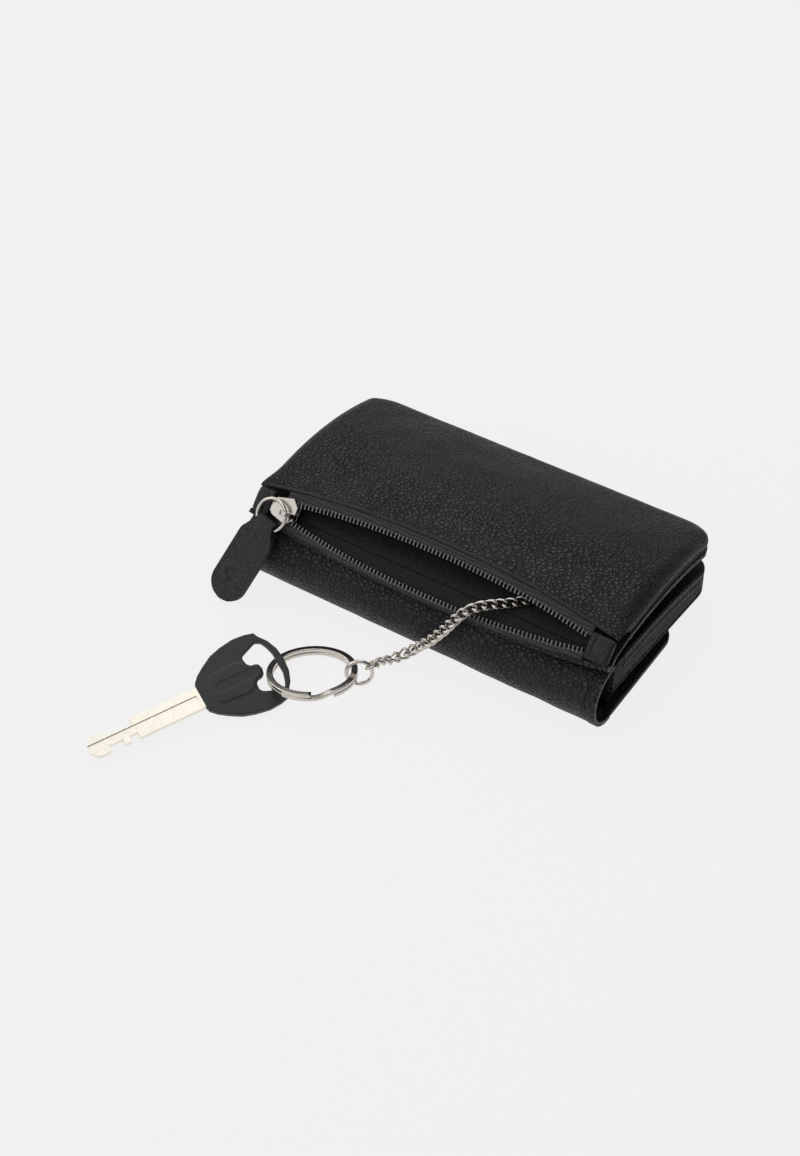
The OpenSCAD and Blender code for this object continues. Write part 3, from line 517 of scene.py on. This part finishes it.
SIDES = ((-1, "left"), (1, "right"))
for side, label in SIDES:
    line = []
    for i in range(25):
        angle = math.pi * (0.04 + 0.9 * i / 24 - 0.5)
        out = Vector((0, -math.cos(angle), math.sin(angle)))
        axis_point = mm(side * (HALF_W - STITCH_INSET), FOLD_Y, FOLD_R)
        line.append((axis_point + out * (FOLD_R - 0.1) * MM, out))
    stitch_row("fold_stitches_" + label, line, "case", "edge_leather", pitch=3.0, length=2.1)

# Padded body: a felt pad between a base panel and a leather cover that is turned down round
# the sides and rear. A ply closes its front, and each side has a roll, a ply and stitches.
BODY_MID_Z = 19.9
BODY_REAR_Z = 11.0


def arch(start, control, end, t):
    """Height at share t along a quadratic curve from start to end."""
    return start * (1 - t) ** 2 + 2 * control * t * (1 - t) + end * t * t


def body_top(y):
    """Height of the padded body's upper face."""
    return arch(2 * FOLD_R, BODY_MID_Z, BODY_REAR_Z, (y - FOLD_Y) / CASE_D)


EASE_OVER = math.radians(34)
FLAT_UNDER = math.radians(0.6)


def eased_copy(name, node_name, edge):
    """A closed soft piece in the space of its solid, with its edges rounded over."""
    cut = bmesh.new()
    cut.from_mesh(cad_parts[node_name].data)
    bmesh.ops.remove_doubles(cut, verts=cut.verts[:], dist=1e-6)
    bmesh.ops.dissolve_limit(
        cut, angle_limit=FLAT_UNDER, verts=cut.verts[:], edges=cut.edges[:])
    sharp = [e for e in cut.edges if e.is_manifold and e.calc_face_angle() > EASE_OVER]
    bmesh.ops.bevel(
        cut, geom=sharp, offset=edge * MM, segments=4, profile=0.5, affect="EDGES",
        clamp_overlap=True, material=-1)
    bmesh.ops.triangulate(cut, faces=cut.faces[:])
    return new_object(name, cut)


body_cover = eased_copy("body_cover_leather", "body_top_panel", 0.55)
dress(body_cover, side_leather, "case", "pebbled_leather", "body_top_panel")
base = eased_copy("base_leather", "body_base_panel", 0.35)
dress(base, side_leather, "case", "edge_leather", "body_base_panel")
felt = woven("grey_felt", (0.05, 0.05, 0.05), (0.12, 0.12, 0.12), 0.0006, 0.0002, 0.95, 1.6)
pad = eased_copy("felt_pad", "body_padding", 0.9)
dress(pad, felt, "case", "padding", "body_padding")
FRONT_PLY_T = 0.55
FRONT_PLY_LOW_Z = 10.3
FRONT_PLY_H = 7.8
front_ply = leather_sheet(
    "body_front_ply", 60, 8,
    lambda s, t: mm(
        (2 * s - 1) * (HALF_W - 0.8), FOLD_Y - FRONT_PLY_T, FRONT_PLY_LOW_Z + FRONT_PLY_H * t),
    FRONT_PLY_T, 0.1)
dress(front_ply, side_leather, "case", "pebbled_leather")


def round_wires(name, runs, width, resolution, closed=False):
    """Round wires along runs of points, drawn as one bevelled curve and then made a mesh."""
    curve = bpy.data.curves.new(name, "CURVE")
    curve.dimensions = "3D"
    curve.bevel_depth = width * MM / 2
    curve.bevel_resolution = resolution
    curve.use_fill_caps = not closed
    for points in runs:
        spline = curve.splines.new("POLY")
        spline.points.add(len(points) - 1)
        for knot, point in zip(spline.points, points):
            knot.co = (*point, 1)
        spline.use_cyclic_u = closed
    drawn = bpy.data.objects.new(name + "_curve", curve)
    bpy.context.scene.collection.objects.link(drawn)
    bpy.context.view_layer.update()
    mesh = bpy.data.meshes.new_from_object(drawn)
    bpy.data.objects.remove(drawn)
    mesh.name = name
    made = bpy.data.objects.new(name, mesh)
    bpy.context.scene.collection.objects.link(made)
    for polygon in mesh.polygons:
        polygon.use_smooth = True
    return made


SIDE_ROLL_W = 1.5
SIDE_ROLL_FALL = 0.75
SIDE_STITCH_FALL = 2.6
SIDE_PLY_W = 1.05
SIDE_PLY_FALL = 4.05
SIDE_FRONT_Y, SIDE_REAR_Y = -15, 33
for side, label in SIDES:
    rolls, line, plies = [], [], []
    for i in range(25):
        y = SIDE_FRONT_Y + (SIDE_REAR_Y - SIDE_FRONT_Y) * i / 24
        z = body_top(y)
        rolls.append(mm(side * (HALF_W - 0.4), y, z - SIDE_ROLL_FALL))
        line.append((mm(side * (HALF_W + 0.02), y, z - SIDE_STITCH_FALL), Vector((side, 0, 0))))
        plies.append(mm(side * (HALF_W - 0.3), y, z - SIDE_PLY_FALL))
    for kind, points, width in (("roll", rolls, SIDE_ROLL_W), ("ply", plies, SIDE_PLY_W)):
        strip = round_wires(f"body_side_{kind}_{label}", [points], width, 4)
        dress(strip, smooth_leather, "case", "edge_leather")
    stitch_row("body_side_stitches_" + label, line, "case", "edge_leather", sink=0.1)

# Key rail: a nickelled strip riveted under the body, with a pin for each of six wire hooks.
# The stud of the snap fastener behind it is stamped from the same steel.
for part in ("hook_rail", "rail_rivets", "hook_pins", "snap_stud"):
    finish_frame_piece(part, steel, 0.12)
for number in range(1, 7):
    finish_frame_piece(f"key_hook_{number}", steel, 0.15)

# Pocket back: the panel that lies on the padded body, comes forward to the zip's lower lip
# and rises to the side seams, where it is sewn to the top panel. A cloth lining lies on it.
MOUTH_Y = FOLD_Y - 1.5
MOUTH_Z = 26.0
MOUTH_TILT = math.radians(45)
MOUTH_BOW = 4.5
BOW_POWER = 2.2
SEAM_SHUT_U, SEAM_BOW = 4.1, 5.4
LIP_SHUT_U, LIP_BOW = 3.4, 4.7
ROLL_W = 4.5
ROLL_FALL = 3.2
CROWN_MID_Z, CROWN_REAR_Z = 36.0, 23.5
SIDE_SEAM_Z = (24.8, 29.0, 18.6)
BACK_REST = 0.45
BACK_SAG = 0.9
BACK_LIFT_W = 17.0
RIM_GAP = 0.3
LIP_SHARE = 3 / 14


def mouth_point(x, u, w):
    """A place in the mouth's tilted plane: u runs up along the plane and w stands out of it."""
    return (
        x,
        MOUTH_Y + u * math.cos(MOUTH_TILT) - w * math.sin(MOUTH_TILT),
        MOUTH_Z + u * math.sin(MOUTH_TILT) + w * math.cos(MOUTH_TILT),
    )


def clamp01(v):
    return min(1.0, max(0.0, v))


def smooth01(v):
    v = clamp01(v)
    return v * v * (3 - 2 * v)


def bow_share(x):
    """How far the mouth stands open at x: 1 in the middle, 0 at the case's ends."""
    return 1 - (abs(x) / HALF_W) ** BOW_POWER


def seam_u(x):
    """Where the top panel's front edge runs above the mouth's middle line."""
    return SEAM_SHUT_U + SEAM_BOW * bow_share(x)


def lip_u(x):
    """Where the back panel's lip runs below that line."""
    return -LIP_SHUT_U - LIP_BOW * bow_share(x)


def rear_edge(x):
    """Where the case ends at the rear, with its round corners."""
    over = max(0.0, abs(x) - (HALF_W - CORNER_R))
    return REAR_Y - (CORNER_R - math.sqrt(max(0.0, CORNER_R * CORNER_R - over * over)))


def edge_share(x, y, width):
    """0 inside the panel, rising to 1 over the given width up to its side and rear edges."""
    return max(
        clamp01((abs(x) - (HALF_W - width)) / width),
        clamp01((y - (rear_edge(x) - width)) / width))


def crown_z(x, y):
    """Height of the top panel's smooth crown, before its edges roll down."""
    front = mouth_point(x, seam_u(x), 0)
    return arch(front[2], CROWN_MID_Z, CROWN_REAR_Z, (y - front[1]) / (REAR_Y - front[1]))


def back_point(x, t):
    """The back panel's face from the lip at t = 0 over the fold and the body to the rear edge."""
    front = mouth_point(x, lip_u(x), 0)
    if t < LIP_SHARE:
        y = front[1] + (FOLD_Y - front[1]) * t / LIP_SHARE
    else:
        past = (t - LIP_SHARE) / (1 - LIP_SHARE)
        y = FOLD_Y + (rear_edge(x) - FOLD_Y) * math.sin(math.pi / 2 * past)
    under = body_top(y) if y > FOLD_Y else FOLD_R + math.sqrt(FOLD_R ** 2 - (FOLD_Y - y) ** 2)
    rest = under + BACK_REST + LEATHER_T
    share = clamp01((y - front[1]) / (FOLD_Y - front[1]))
    sag = BACK_SAG * (1 - bow_share(x)) * 4 * share * (1 - share)
    straight = front[2] + (2 * FOLD_R + BACK_REST + LEATHER_T - front[2]) * share - sag
    low = max(straight, rest) if share < 1 else rest
    lift = smooth01(edge_share(x, y, BACK_LIFT_W)) * share ** 3
    side_z = arch(*SIDE_SEAM_Z, (y - FOLD_Y) / CASE_D)
    rim = min(side_z, crown_z(x, y) - ROLL_FALL - LEATHER_T) - RIM_GAP
    return Vector((x, y, low + (rim - low) * lift))


back = leather_sheet(
    "pocket_back_leather", 110, 64, lambda s, t: back_point(spread_out(s), t) * MM,
    LEATHER_T, 0.45)
dress(back, lining_cloth, "case", "pebbled_leather", "pocket_back_panel")
# Its underside and lip take the same lighter copy of the hide, its tone painted light.
back.data.materials.append(fine_leather_painted_light)
back.modifiers["thickness"].material_offset = 1
back.modifiers["thickness"].material_offset_rim = 1
POCKET_CLOTH_HALF_W = 54.5
POCKET_CLOTH_SPREAD = math.radians(65.4)
POCKET_CLOTH_SHARE = 8 / 14
POCKET_CLOTH_RISE = Vector((0, 0, CLOTH_T + 0.07))


def pocket_cloth_point(s, t):
    """The lining's face, laid a little above the back panel's."""
    spread = math.sin(POCKET_CLOTH_SPREAD * (2 * s - 1)) / math.sin(POCKET_CLOTH_SPREAD)
    face = back_point(POCKET_CLOTH_HALF_W * spread, LIP_SHARE + POCKET_CLOTH_SHARE * t)
    return (face + POCKET_CLOTH_RISE) * MM


pocket_cloth = leather_sheet(
    "pocket_lining_cloth", 80, 50, pocket_cloth_point, CLOTH_T, 0.2)
dress(pocket_cloth, lining_cloth, "case", "lining", "pocket_lining")

# Pocket top: the large pebbled panel, crowned over the pocket and rolled down to the side
# and rear seams, where a ply joins it to the back. A hem turns its front edge along the zip.
def roll_fall(x, y, share):
    """How far the panel's rolled edge lies under its crown; share is the way from the front."""
    e = edge_share(x, y, ROLL_W)
    return ROLL_FALL * (1 - math.sqrt(max(0.0, 1 - e * e))) * smooth01(share * 5)


def top_point(s, t):
    """The top panel's face from the zip at t = 0 to the rear seam, softly rumpled inside."""
    x = spread_out(s)
    front = mouth_point(x, seam_u(x), 0)
    share = math.sin(math.pi / 2 * t)
    y = front[1] + (rear_edge(x) - front[1]) * share
    z = crown_z(x, y) - roll_fall(x, y, share)
    inside = (1 - edge_share(x, y, ROLL_W)) * smooth01(share * 6)
    z += rumple((x, y, 0), 16.0, 0.35) * inside + rumple((x, y, 0), 6.0, 0.12, 3.1) * inside
    return mm(x, y, z)


top = leather_sheet("pocket_top_leather", 130, 80, top_point, LEATHER_T, 0.5)
dress(top, pebbled, "case", "pebbled_leather", "top_panel")
HEM_W = 1.2
HEM_HALF = 57.5
hem_line = [
    mm(*mouth_point(x, seam_u(x) + 0.25, -0.25))
    for x in (HEM_HALF * (i / 35 - 1) for i in range(71))]
hem = round_wires("pocket_top_hem", [hem_line], HEM_W, 4)
dress(hem, smooth_leather, "case", "pebbled_leather")
SEAM_INSET = 1.2
SEAM_FRONT_Y = -12.0
SEAM_SINK = 0.4


def seam_place(s):
    """A point on the line of the side and rear seams, from the left front round to the right."""
    turn_r = CORNER_R - SEAM_INSET
    rear_run, arc = HALF_W - CORNER_R, math.pi / 2 * turn_r
    side_run = REAR_Y - CORNER_R - SEAM_FRONT_Y
    along = abs(2 * s - 1) * (rear_run + arc + side_run)
    side = -1 if s < 0.5 else 1
    if along < rear_run:
        return side * along, REAR_Y - SEAM_INSET
    turn = min(along - rear_run, arc) / turn_r
    y = REAR_Y - CORNER_R + turn_r * math.cos(turn) - max(0.0, along - rear_run - arc)
    return side * (rear_run + turn_r * math.sin(turn)), y


def seam_point(s, t):
    """A place on the seam's ply, which stands on the back panel and reaches up into the top."""
    x, y = seam_place(s)
    front = mouth_point(x, seam_u(x), 0)
    far = math.asin(clamp01((y - FOLD_Y) / (rear_edge(x) - FOLD_Y))) / (math.pi / 2)
    low = back_point(x, LIP_SHARE + (1 - LIP_SHARE) * far)[2] - SEAM_SINK
    share = (y - front[1]) / (rear_edge(x) - front[1])
    high = crown_z(x, y) - roll_fall(x, y, share) - LEATHER_T + SEAM_SINK
    return mm(x, y, low + (high - low) * t)


seam_ply = leather_sheet("pocket_seam_ply", 160, 4, seam_point, 0.9, 0.1)
dress(seam_ply, side_leather, "case", "pebbled_leather")

# Zip: two black tapes woven from polyester, each with a nylon coil sewn along its edge. The
# upper tape shows below the pocket's front edge, the lower one lies on the lip.
TOOTH_PITCH = 1.25
TOOTH_L = 1.7
COIL_BEADS = (
    (0.86, (0.36, 0.9, 0.54)),
    (0.4, (0.43, 0.42, 0.6)),
    (1.5, (0.43, 0.32, 0.52)))
ZIP_SHIFT = 1.2
ZIP_END = 51.0
ROW_SHUT_U = 0.9
TAPE_T = 0.38


def row_u(x):
    """Distance of a row of teeth from the mouth's middle line."""
    from_middle = abs(x - ZIP_SHIFT) / (ZIP_END + ZIP_SHIFT)
    return ROW_SHUT_U + MOUTH_BOW * (1 - from_middle ** BOW_POWER)


zip_cloth = woven(
    "zip_tape_weave", (0.003, 0.003, 0.004), (0.042, 0.042, 0.046), 0.00085, 0.0003, 0.6, 0.3)


def upper_tape(s, t):
    """The upper tape's face, from under its teeth to the top panel's front edge."""
    x = ZIP_SHIFT + ZIP_END * (2 * s - 1)
    near, far = row_u(x) + TOOTH_L - 0.5, seam_u(x) - 0.3
    return mm(*mouth_point(x, near + (far - near) * t, 0.2))


def lower_tape(s, t):
    """The lower tape's face, from the lip to under its teeth."""
    x = ZIP_SHIFT + ZIP_END * (2 * s - 1)
    near, far = -row_u(x) - TOOTH_L + 0.5, lip_u(x) + 0.12
    return mm(*mouth_point(x, far + (near - far) * t, 0.4))


tape_up = leather_sheet("zip_tape_upper_weave", 110, 5, upper_tape, TAPE_T, 0.1)
dress(tape_up, zip_cloth, "case", "tape", "zip_tape_upper")
tape_low = leather_sheet("zip_tape_lower_weave", 110, 5, lower_tape, TAPE_T, 0.1)
dress(tape_low, zip_cloth, "case", "tape", "zip_tape_lower")

nylon, tree = blank_material("zip_coil_nylon")
coil_place = node(tree, "ShaderNodeTexCoord")
coil_cloud = node(tree, "ShaderNodeTexNoise", Scale=900.0, Detail=2.0)
coil_gloss = node(tree, "ShaderNodeMapRange")
coil_gloss.inputs["To Min"].default_value = 0.14
coil_gloss.inputs["To Max"].default_value = 0.24
coil = node(tree, "ShaderNodeBsdfPrincipled")
coil.inputs["Base Color"].default_value = (0.008, 0.008, 0.009, 1)
coil.inputs["Specular IOR Level"].default_value = 1.0
coil.inputs["IOR"].default_value = 1.9
coil_out = node(tree, "ShaderNodeOutputMaterial")
tree.links.new(coil_place.outputs["Object"], coil_cloud.inputs["Vector"])
tree.links.new(coil_cloud.outputs["Fac"], coil_gloss.inputs["Value"])
tree.links.new(coil_gloss.outputs["Result"], coil.inputs["Roughness"])
tree.links.new(coil.outputs[0], coil_out.inputs["Surface"])
in_mouth = Matrix.Translation(mm(0, MOUTH_Y, MOUTH_Z)) @ Matrix.Rotation(MOUTH_TILT, 4, "X")


def coil_row(name, side, node_name):
    """One turn of the coil for each tooth: its body, its round head and its turn on the tape."""
    row = bmesh.new()
    count = int(2 * ZIP_END / TOOTH_PITCH)
    for i in range(count):
        x = ZIP_SHIFT - ZIP_END + TOOTH_PITCH * (i + 0.25 + (0 if side > 0 else 0.5))
        slope = math.atan2(row_u(x + TOOTH_PITCH) - row_u(x - TOOTH_PITCH), 2 * TOOTH_PITCH)
        at = in_mouth @ Matrix.Translation(mm(x, side * row_u(x), 0))
        at = at @ Matrix.Rotation(side * slope, 4, "Z")
        for u, half in COIL_BEADS:
            size = Matrix.Diagonal((*(h * MM for h in half), 1))
            bmesh.ops.create_uvsphere(
                row, u_segments=8, v_segments=6, radius=1,
                matrix=at @ Matrix.Translation(mm(0, side * u, 0)) @ size)
    made = new_object(name, row)
    return dress(made, nylon, "case", "teeth", node_name)


coil_row("zip_coil_upper", 1, "zip_teeth_upper")
coil_row("zip_coil_lower", -1, "zip_teeth_lower")

# End tabs: a strip of smooth leather folded over each end of the zip and sewn through, with
# the stitches a millimetre from its inner edge.
END_TAB_U = 3.8
END_TAB_T = 2.5
END_TAB_SQUARE = 0.8
END_ROUND = 2.4
PRESS_AT = 1.7
PRESS_W = 0.34
PRESS_DEPTH = 0.38


def end_tab(name, near, far, node_name):
    """A flattened tube between two places along the zip, closed and rounded at its far end."""
    tab = bmesh.new()
    bmesh.ops.create_cone(
        tab, cap_ends=True, cap_tris=False, segments=40, radius1=1, radius2=1, depth=2)
    long_edges = [e for e in tab.edges if abs(e.verts[0].co.z - e.verts[1].co.z) > 1]
    bmesh.ops.subdivide_edges(tab, edges=long_edges, cuts=22, use_grid_fill=True)
    length = abs(far - near)
    outward = 1 if far > near else -1
    for corner in tab.verts:
        c, s, along = corner.co.x, corner.co.y, (corner.co.z + 1) / 2 * length
        c = math.copysign(abs(c) ** END_TAB_SQUARE, c)
        s = math.copysign(abs(s) ** END_TAB_SQUARE, s)
        lip = 0.96 + 0.04 * smooth01(along / 0.3)
        groove = PRESS_DEPTH * math.exp(-((along - PRESS_AT) / PRESS_W) ** 2)
        from_end = clamp01((length - along) / END_ROUND)
        end = 0.3 + 0.7 * math.sqrt(from_end * (2 - from_end))
        corner.co = in_mouth @ mm(
            near + outward * along, c * END_TAB_U * lip * (0.75 + 0.25 * end),
            s * (END_TAB_T / 2 * lip * end - groove))
    bmesh.ops.recalc_face_normals(tab, faces=tab.faces[:])
    made = new_object(name, tab)
    return dress(made, smooth_leather, "case", "edge_leather", node_name)


END_LEFT = (-53.9, -HALF_W + 0.4)
END_RIGHT = (ZIP_SHIFT + ZIP_END + 0.3, HALF_W - 0.4)
end_tab("zip_end_left_leather", *END_LEFT, "zip_end_tab_left")
end_tab("zip_end_right_leather", *END_RIGHT, "zip_end_tab_right")
TAB_STITCH_INSET = 1.1
TAB_STITCH_HALF = 2.9
TAB_STITCH_W = 1.08
w_axis = (in_mouth.to_3x3() @ Vector((0, 0, 1))).normalized()
for (side, label), inner in zip(SIDES, (END_LEFT[0], END_RIGHT[0])):
    x = inner + side * TAB_STITCH_INSET
    line = [
        (in_mouth @ mm(x, TAB_STITCH_HALF * (i / 3 - 1), TAB_STITCH_W), w_axis)
        for i in range(7)]
    stitch_row(
        "end_tab_stitches_" + label, line, "case", "edge_leather", pitch=1.5, length=1.1,
        width=0.36)

# Slider, bail and puller ring: die cast and wire, plated with bright nickel. The casting is
# rounded all over by its mould's radii and a little rougher than the wire, and its plate is
# coloured darker than the wire's as painted shade, under the lamps above.
nickel = metal("bright_nickel", (0.62, 0.58, 0.53), 0.16, (1, 1, 1), 0.0009, 0.05, 0.000003)
# Painted shade: the casting's nickel is coloured darker than the wire's.
shaded_cast_nickel = metal("shaded_cast_nickel", (0.5, 0.47, 0.43), 0.24, (1, 1, 1), 0.0009, 0.05, 0.000003)


def rounded_moulding(piece, voxel, turns):
    """Rounds a cast or moulded piece from the frame all over, as its mould's radii do."""
    skin = piece.modifiers.new("moulding", "REMESH")
    skin.mode = "VOXEL"
    skin.voxel_size = voxel * MM
    skin.use_smooth_shade = True
    radii = piece.modifiers.new("radii", "SMOOTH")
    radii.factor = 0.5
    radii.iterations = turns


rounded_moulding(finish_frame_piece("slider_body", shaded_cast_nickel), 0.13, 4)
finish_frame_piece("puller_ring", nickel)

# Pull tab: one strip of matte leather folded round the puller ring and glued back to back,
# with round ends and a shallow round dimple pressed into its face.
tab_hide = leather(
    "matte_tab_leather", (0.018, 0.02, 0.022), (0.034, 0.0375, 0.04),
    0.001, 0.00009, 0.58)
PULLER_R = 4.8
PULLER_DROP = 1.8
PULLER_TILT = math.radians(10.5)
BAIL = (-47.0, -1.0, 3.0)
TAB_L = 30.6
TAB_W = 12.0
TAB_NECK = 3.1
TAB_TURN = math.radians(180 - 15.8)
in_puller = (
    in_mouth @ Matrix.Translation(mm(*BAIL)) @ Matrix.Rotation(PULLER_TILT, 4, "X")
    @ Matrix.Translation(mm(-math.sqrt(PULLER_R ** 2 - PULLER_DROP ** 2), -PULLER_DROP, 0)))
in_tab = in_puller @ Matrix.Rotation(TAB_TURN, 4, "Z")
TAB_LOOP = 1.03
TAB_PLY = 0.8
PLY_Z = 0.44
BEND_SHARE = 0.1
BEND_Y = 2.55
BEND_R = 0.62
DIMPLE_R = 2.6
DIMPLE_INSET = 8.5


def tab_half_width(y):
    """Half the tab's width at a distance from the ring: a neck, a broad middle, a round end."""
    if y > TAB_L - TAB_W / 2:
        over = (y - (TAB_L - TAB_W / 2)) / (TAB_W / 2)
        return max(0.35, TAB_W / 2 * math.sqrt(max(0.0, 1 - over * over)))
    return TAB_NECK + (TAB_W / 2 - TAB_NECK) * smooth01((y - 2.0) / 7.5)


def tab_point(s, t):
    """From the tip along the front ply, over the ring's wire and back along the rear ply."""
    front = t < 0.5
    run = t * 2 if front else (1 - t) * 2
    high = TAB_L - 0.02
    straight = 1 - BEND_SHARE
    y = high + (BEND_Y - high) * min(1.0, run / straight) ** 0.9
    z = PLY_Z + (TAB_LOOP - PLY_Z) * (1 - smooth01((y - 5.2) / 2.2))
    if run > straight:
        turn = (run - straight) / BEND_SHARE * math.pi / 2
        y = BEND_Y - BEND_R * math.sin(turn)
        z = TAB_LOOP * math.cos(turn)
    across = tab_half_width(y) * (2 * s - 1)
    if front:
        mark = math.hypot(across, y - (TAB_L - DIMPLE_INSET))
        z -= 0.32 * smooth01((DIMPLE_R - mark) / 0.9)
        z += 0.16 * math.exp(-((mark - DIMPLE_R - 0.5) / 0.45) ** 2)
    z += 0.05 * noise.noise(Vector((across, y, 5 if front else 9)) / 5)
    return in_tab @ mm(across, y, z if front else -z)


tab = leather_sheet("pull_tab_leather", 26, 150, tab_point, TAB_PLY, 0.22)
tab.modifiers["thickness"].offset = 0
dress(tab, tab_hide, "pull_tab", "tab_leather", "pull_tab")

# Chain: curb links of round nickelled wire, each bent shut through the last and twisted to
# lie flat. A leather strap sewn into the side seam holds the first link.
LINK_WIRE = 0.85
LINK_A = 2.05
LINK_B = 1.3
LINK_TWIST = 0.85
LINK_POINTS = 28
LINKS = 29
PIVOT_LINK = 14
FLAT_MID = Vector((0, -1, 1)).normalized()
FLAT_START = Vector((0, 0, 1))
FLAT_END = Vector((-0.49, -0.06, 0.87))
TURN_LINKS = 7
route = [Vector((x, y + MOUTH_Y, z)) for x, y, z in (
    (44.5, 24.5, 25.4), (33, 11.5, 24.6), (25.5, 3.2, 24.6), (21.5, -0.2, 24.8),
    (18.6, -2.9, 24.6), (16.3, -6.4, 24.1), (14.3, -8, 21.5), (12.3, -8.9, 18),
    (10.2, -9.7, 15.1), (7.5, -10.5, 11.5), (4.5, -11, 8.4), (2.3, -11.6, 5.8),
    (0.2, -12.9, 4.1), (-1.4, -15, 3.5), (-2.4, -17.7, 4.2), (-3.2, -20.3, 5.5),
    (-3.41, -23.15, 6.25))]
for _ in range(2):
    cut_corners = [route[0]]
    for a, b in zip(route, route[1:]):
        cut_corners += [a.lerp(b, 0.25), a.lerp(b, 0.75)]
    route = cut_corners + [route[-1]]
route_legs = [(b - a).length for a, b in zip(route, route[1:])]
link_pitch = sum(route_legs) / (LINKS - 1)


def link_centre(i):
    """The middle of link i, counted in pitches along the chain's route."""
    at = link_pitch * i
    leg = 0
    while leg < len(route_legs) - 1 and at > route_legs[leg]:
        at -= route_legs[leg]
        leg += 1
    return route[leg] + (route[leg + 1] - route[leg]).normalized() * at


def link_point(i, turn):
    """A place on link i's wire: an oval in the link's own plane, twisted but at the free ends."""
    start = clamp01(1 - i / TURN_LINKS)
    end = clamp01(1 - (LINKS - 1 - i) / TURN_LINKS)
    flat = FLAT_START * start + FLAT_END * end + FLAT_MID * (1 - start - end)
    along = (link_centre(i + 0.5) - link_centre(i - 0.5)).normalized()
    side = flat.cross(along).normalized()
    up = along.cross(side)
    level = (i == 0 and math.cos(turn) < 0) or (i == LINKS - 1 and math.cos(turn) > 0)
    twist = 0 if level else LINK_TWIST * math.sin(2 * turn)
    return (
        link_centre(i) + along * LINK_A * math.cos(turn)
        + side * LINK_B * math.sin(turn) + up * twist) * MM


def links(name, first, last):
    """The chain's links from first up to last, each a closed loop of wire."""
    loops = [
        [link_point(i, 2 * math.pi * k / LINK_POINTS) for k in range(LINK_POINTS)]
        for i in range(first, last)]
    return round_wires(name, loops, LINK_WIRE, 3, closed=True)


dress(links("pocket_links", 0, PIVOT_LINK), nickel, "case", "nickel", "chain_inner_links")
dress(links("hanging_links", PIVOT_LINK, LINKS), nickel, "chain", "nickel", "chain_outer_links")
finish_frame_piece("chain_anchor", smooth_leather, 0.15)
finish_frame_piece("chain_end_link", nickel)

# Split ring: two turns of flat spring wire with rounded edges, one on the other, with a
# short step where the wire climbs from the lower turn to the upper.
RING_D = 26.0
RING_W = 1.9
RING_H = 1.08
RING_GAP = 0.04
RING_MEAN = (RING_D - RING_W) / 2
RING_EDGE_R = 0.26
RING_AT = (-17.13, MOUTH_Y - 33.11, 4.28)
RING_AXIS = math.radians(38.4)
RING_LEAN = math.radians(-13.3)
WIRE_START = math.radians(-63)
STEP_SHARE = 0.075
SPIN_STEPS = 150
in_ring = (
    Matrix.Translation(mm(*RING_AT)) @ Matrix.Rotation(RING_AXIS, 4, "Z")
    @ Matrix.Rotation(RING_LEAN, 4, "X") @ Matrix.Rotation(WIRE_START, 4, "Z"))
section = bmesh.new()
low_mid_z = -(RING_H + RING_GAP) / 2
corners = [
    section.verts.new(mm(RING_MEAN + a * RING_W / 2, 0, low_mid_z + b * RING_H / 2))
    for a, b in ((-1, -1), (1, -1), (1, 1), (-1, 1))]
section.faces.new(corners)
bmesh.ops.bevel(
    section, geom=corners, offset=RING_EDGE_R * MM, offset_type="OFFSET", segments=4,
    profile=0.5, affect="VERTICES", material=-1)
turns = 2 - STEP_SHARE - RING_GAP / 4
rise = (RING_H + RING_GAP) * MM
end_face = section.faces[:]
level = 0.0
for k in range(SPIN_STEPS):
    turned = turns * (k + 1) / SPIN_STEPS
    next_level = rise * smooth01((turned - 1 + STEP_SHARE) / STEP_SHARE)
    spun = bmesh.ops.spin(
        section, geom=end_face, cent=(0, 0, 0), axis=(0, 0, 1), dvec=(0, 0, next_level - level),
        angle=2 * math.pi * turns / SPIN_STEPS, steps=1, use_merge=False, use_duplicate=False)
    end_face = [g for g in spun["geom_last"] if isinstance(g, bmesh.types.BMFace)]
    level = next_level
bmesh.ops.remove_doubles(section, verts=section.verts[:], dist=1e-7)
bmesh.ops.recalc_face_normals(section, faces=section.faces[:])
bmesh.ops.transform(section, matrix=in_ring, verts=section.verts[:])
ring = new_object("split_ring_wire", section)
dress(ring, nickel, "ring", "nickel", "split_ring")
crisp = ring.modifiers.new("crisp", "WEIGHTED_NORMAL")
crisp.keep_sharp = True

# Key: a nickel silver blade with a milled groove and side cuts, moulded into a bow of dark
# grey plastic with a hole for the ring, a raised kite and a bare oblong field.
blade_metal = metal("nickel_silver", (0.9, 0.85, 0.74), 0.32, (1, 8, 1), 0.0005, 0.05, 0.000004)
finish_frame_piece("key_blade", blade_metal, 0.25)
bow_plastic, tree = blank_material("bow_plastic")
bow_place = node(tree, "ShaderNodeTexCoord")
spark = node(tree, "ShaderNodeTexNoise", Scale=2200.0, Detail=3.0)
spark_bump = node(tree, "ShaderNodeBump", Strength=1.0, Distance=0.00003)
bow_tint = node(tree, "ShaderNodeMix", data_type="RGBA")
bow_tint.inputs[6].default_value = (0.017, 0.018, 0.019, 1)
bow_tint.inputs[7].default_value = (0.042, 0.043, 0.045, 1)
moulded = node(tree, "ShaderNodeBsdfPrincipled", Roughness=0.5)
moulded.inputs["Specular IOR Level"].default_value = 0.4
bow_out = node(tree, "ShaderNodeOutputMaterial")
tree.links.new(bow_place.outputs["Object"], spark.inputs["Vector"])
tree.links.new(spark.outputs["Fac"], spark_bump.inputs["Height"])
tree.links.new(spark.outputs["Fac"], bow_tint.inputs[0])
tree.links.new(bow_tint.outputs[2], moulded.inputs["Base Color"])
tree.links.new(spark_bump.outputs["Normal"], moulded.inputs["Normal"])
tree.links.new(moulded.outputs[0], bow_out.inputs["Surface"])
rounded_moulding(finish_frame_piece("key_bow", bow_plastic), 0.2, 8)
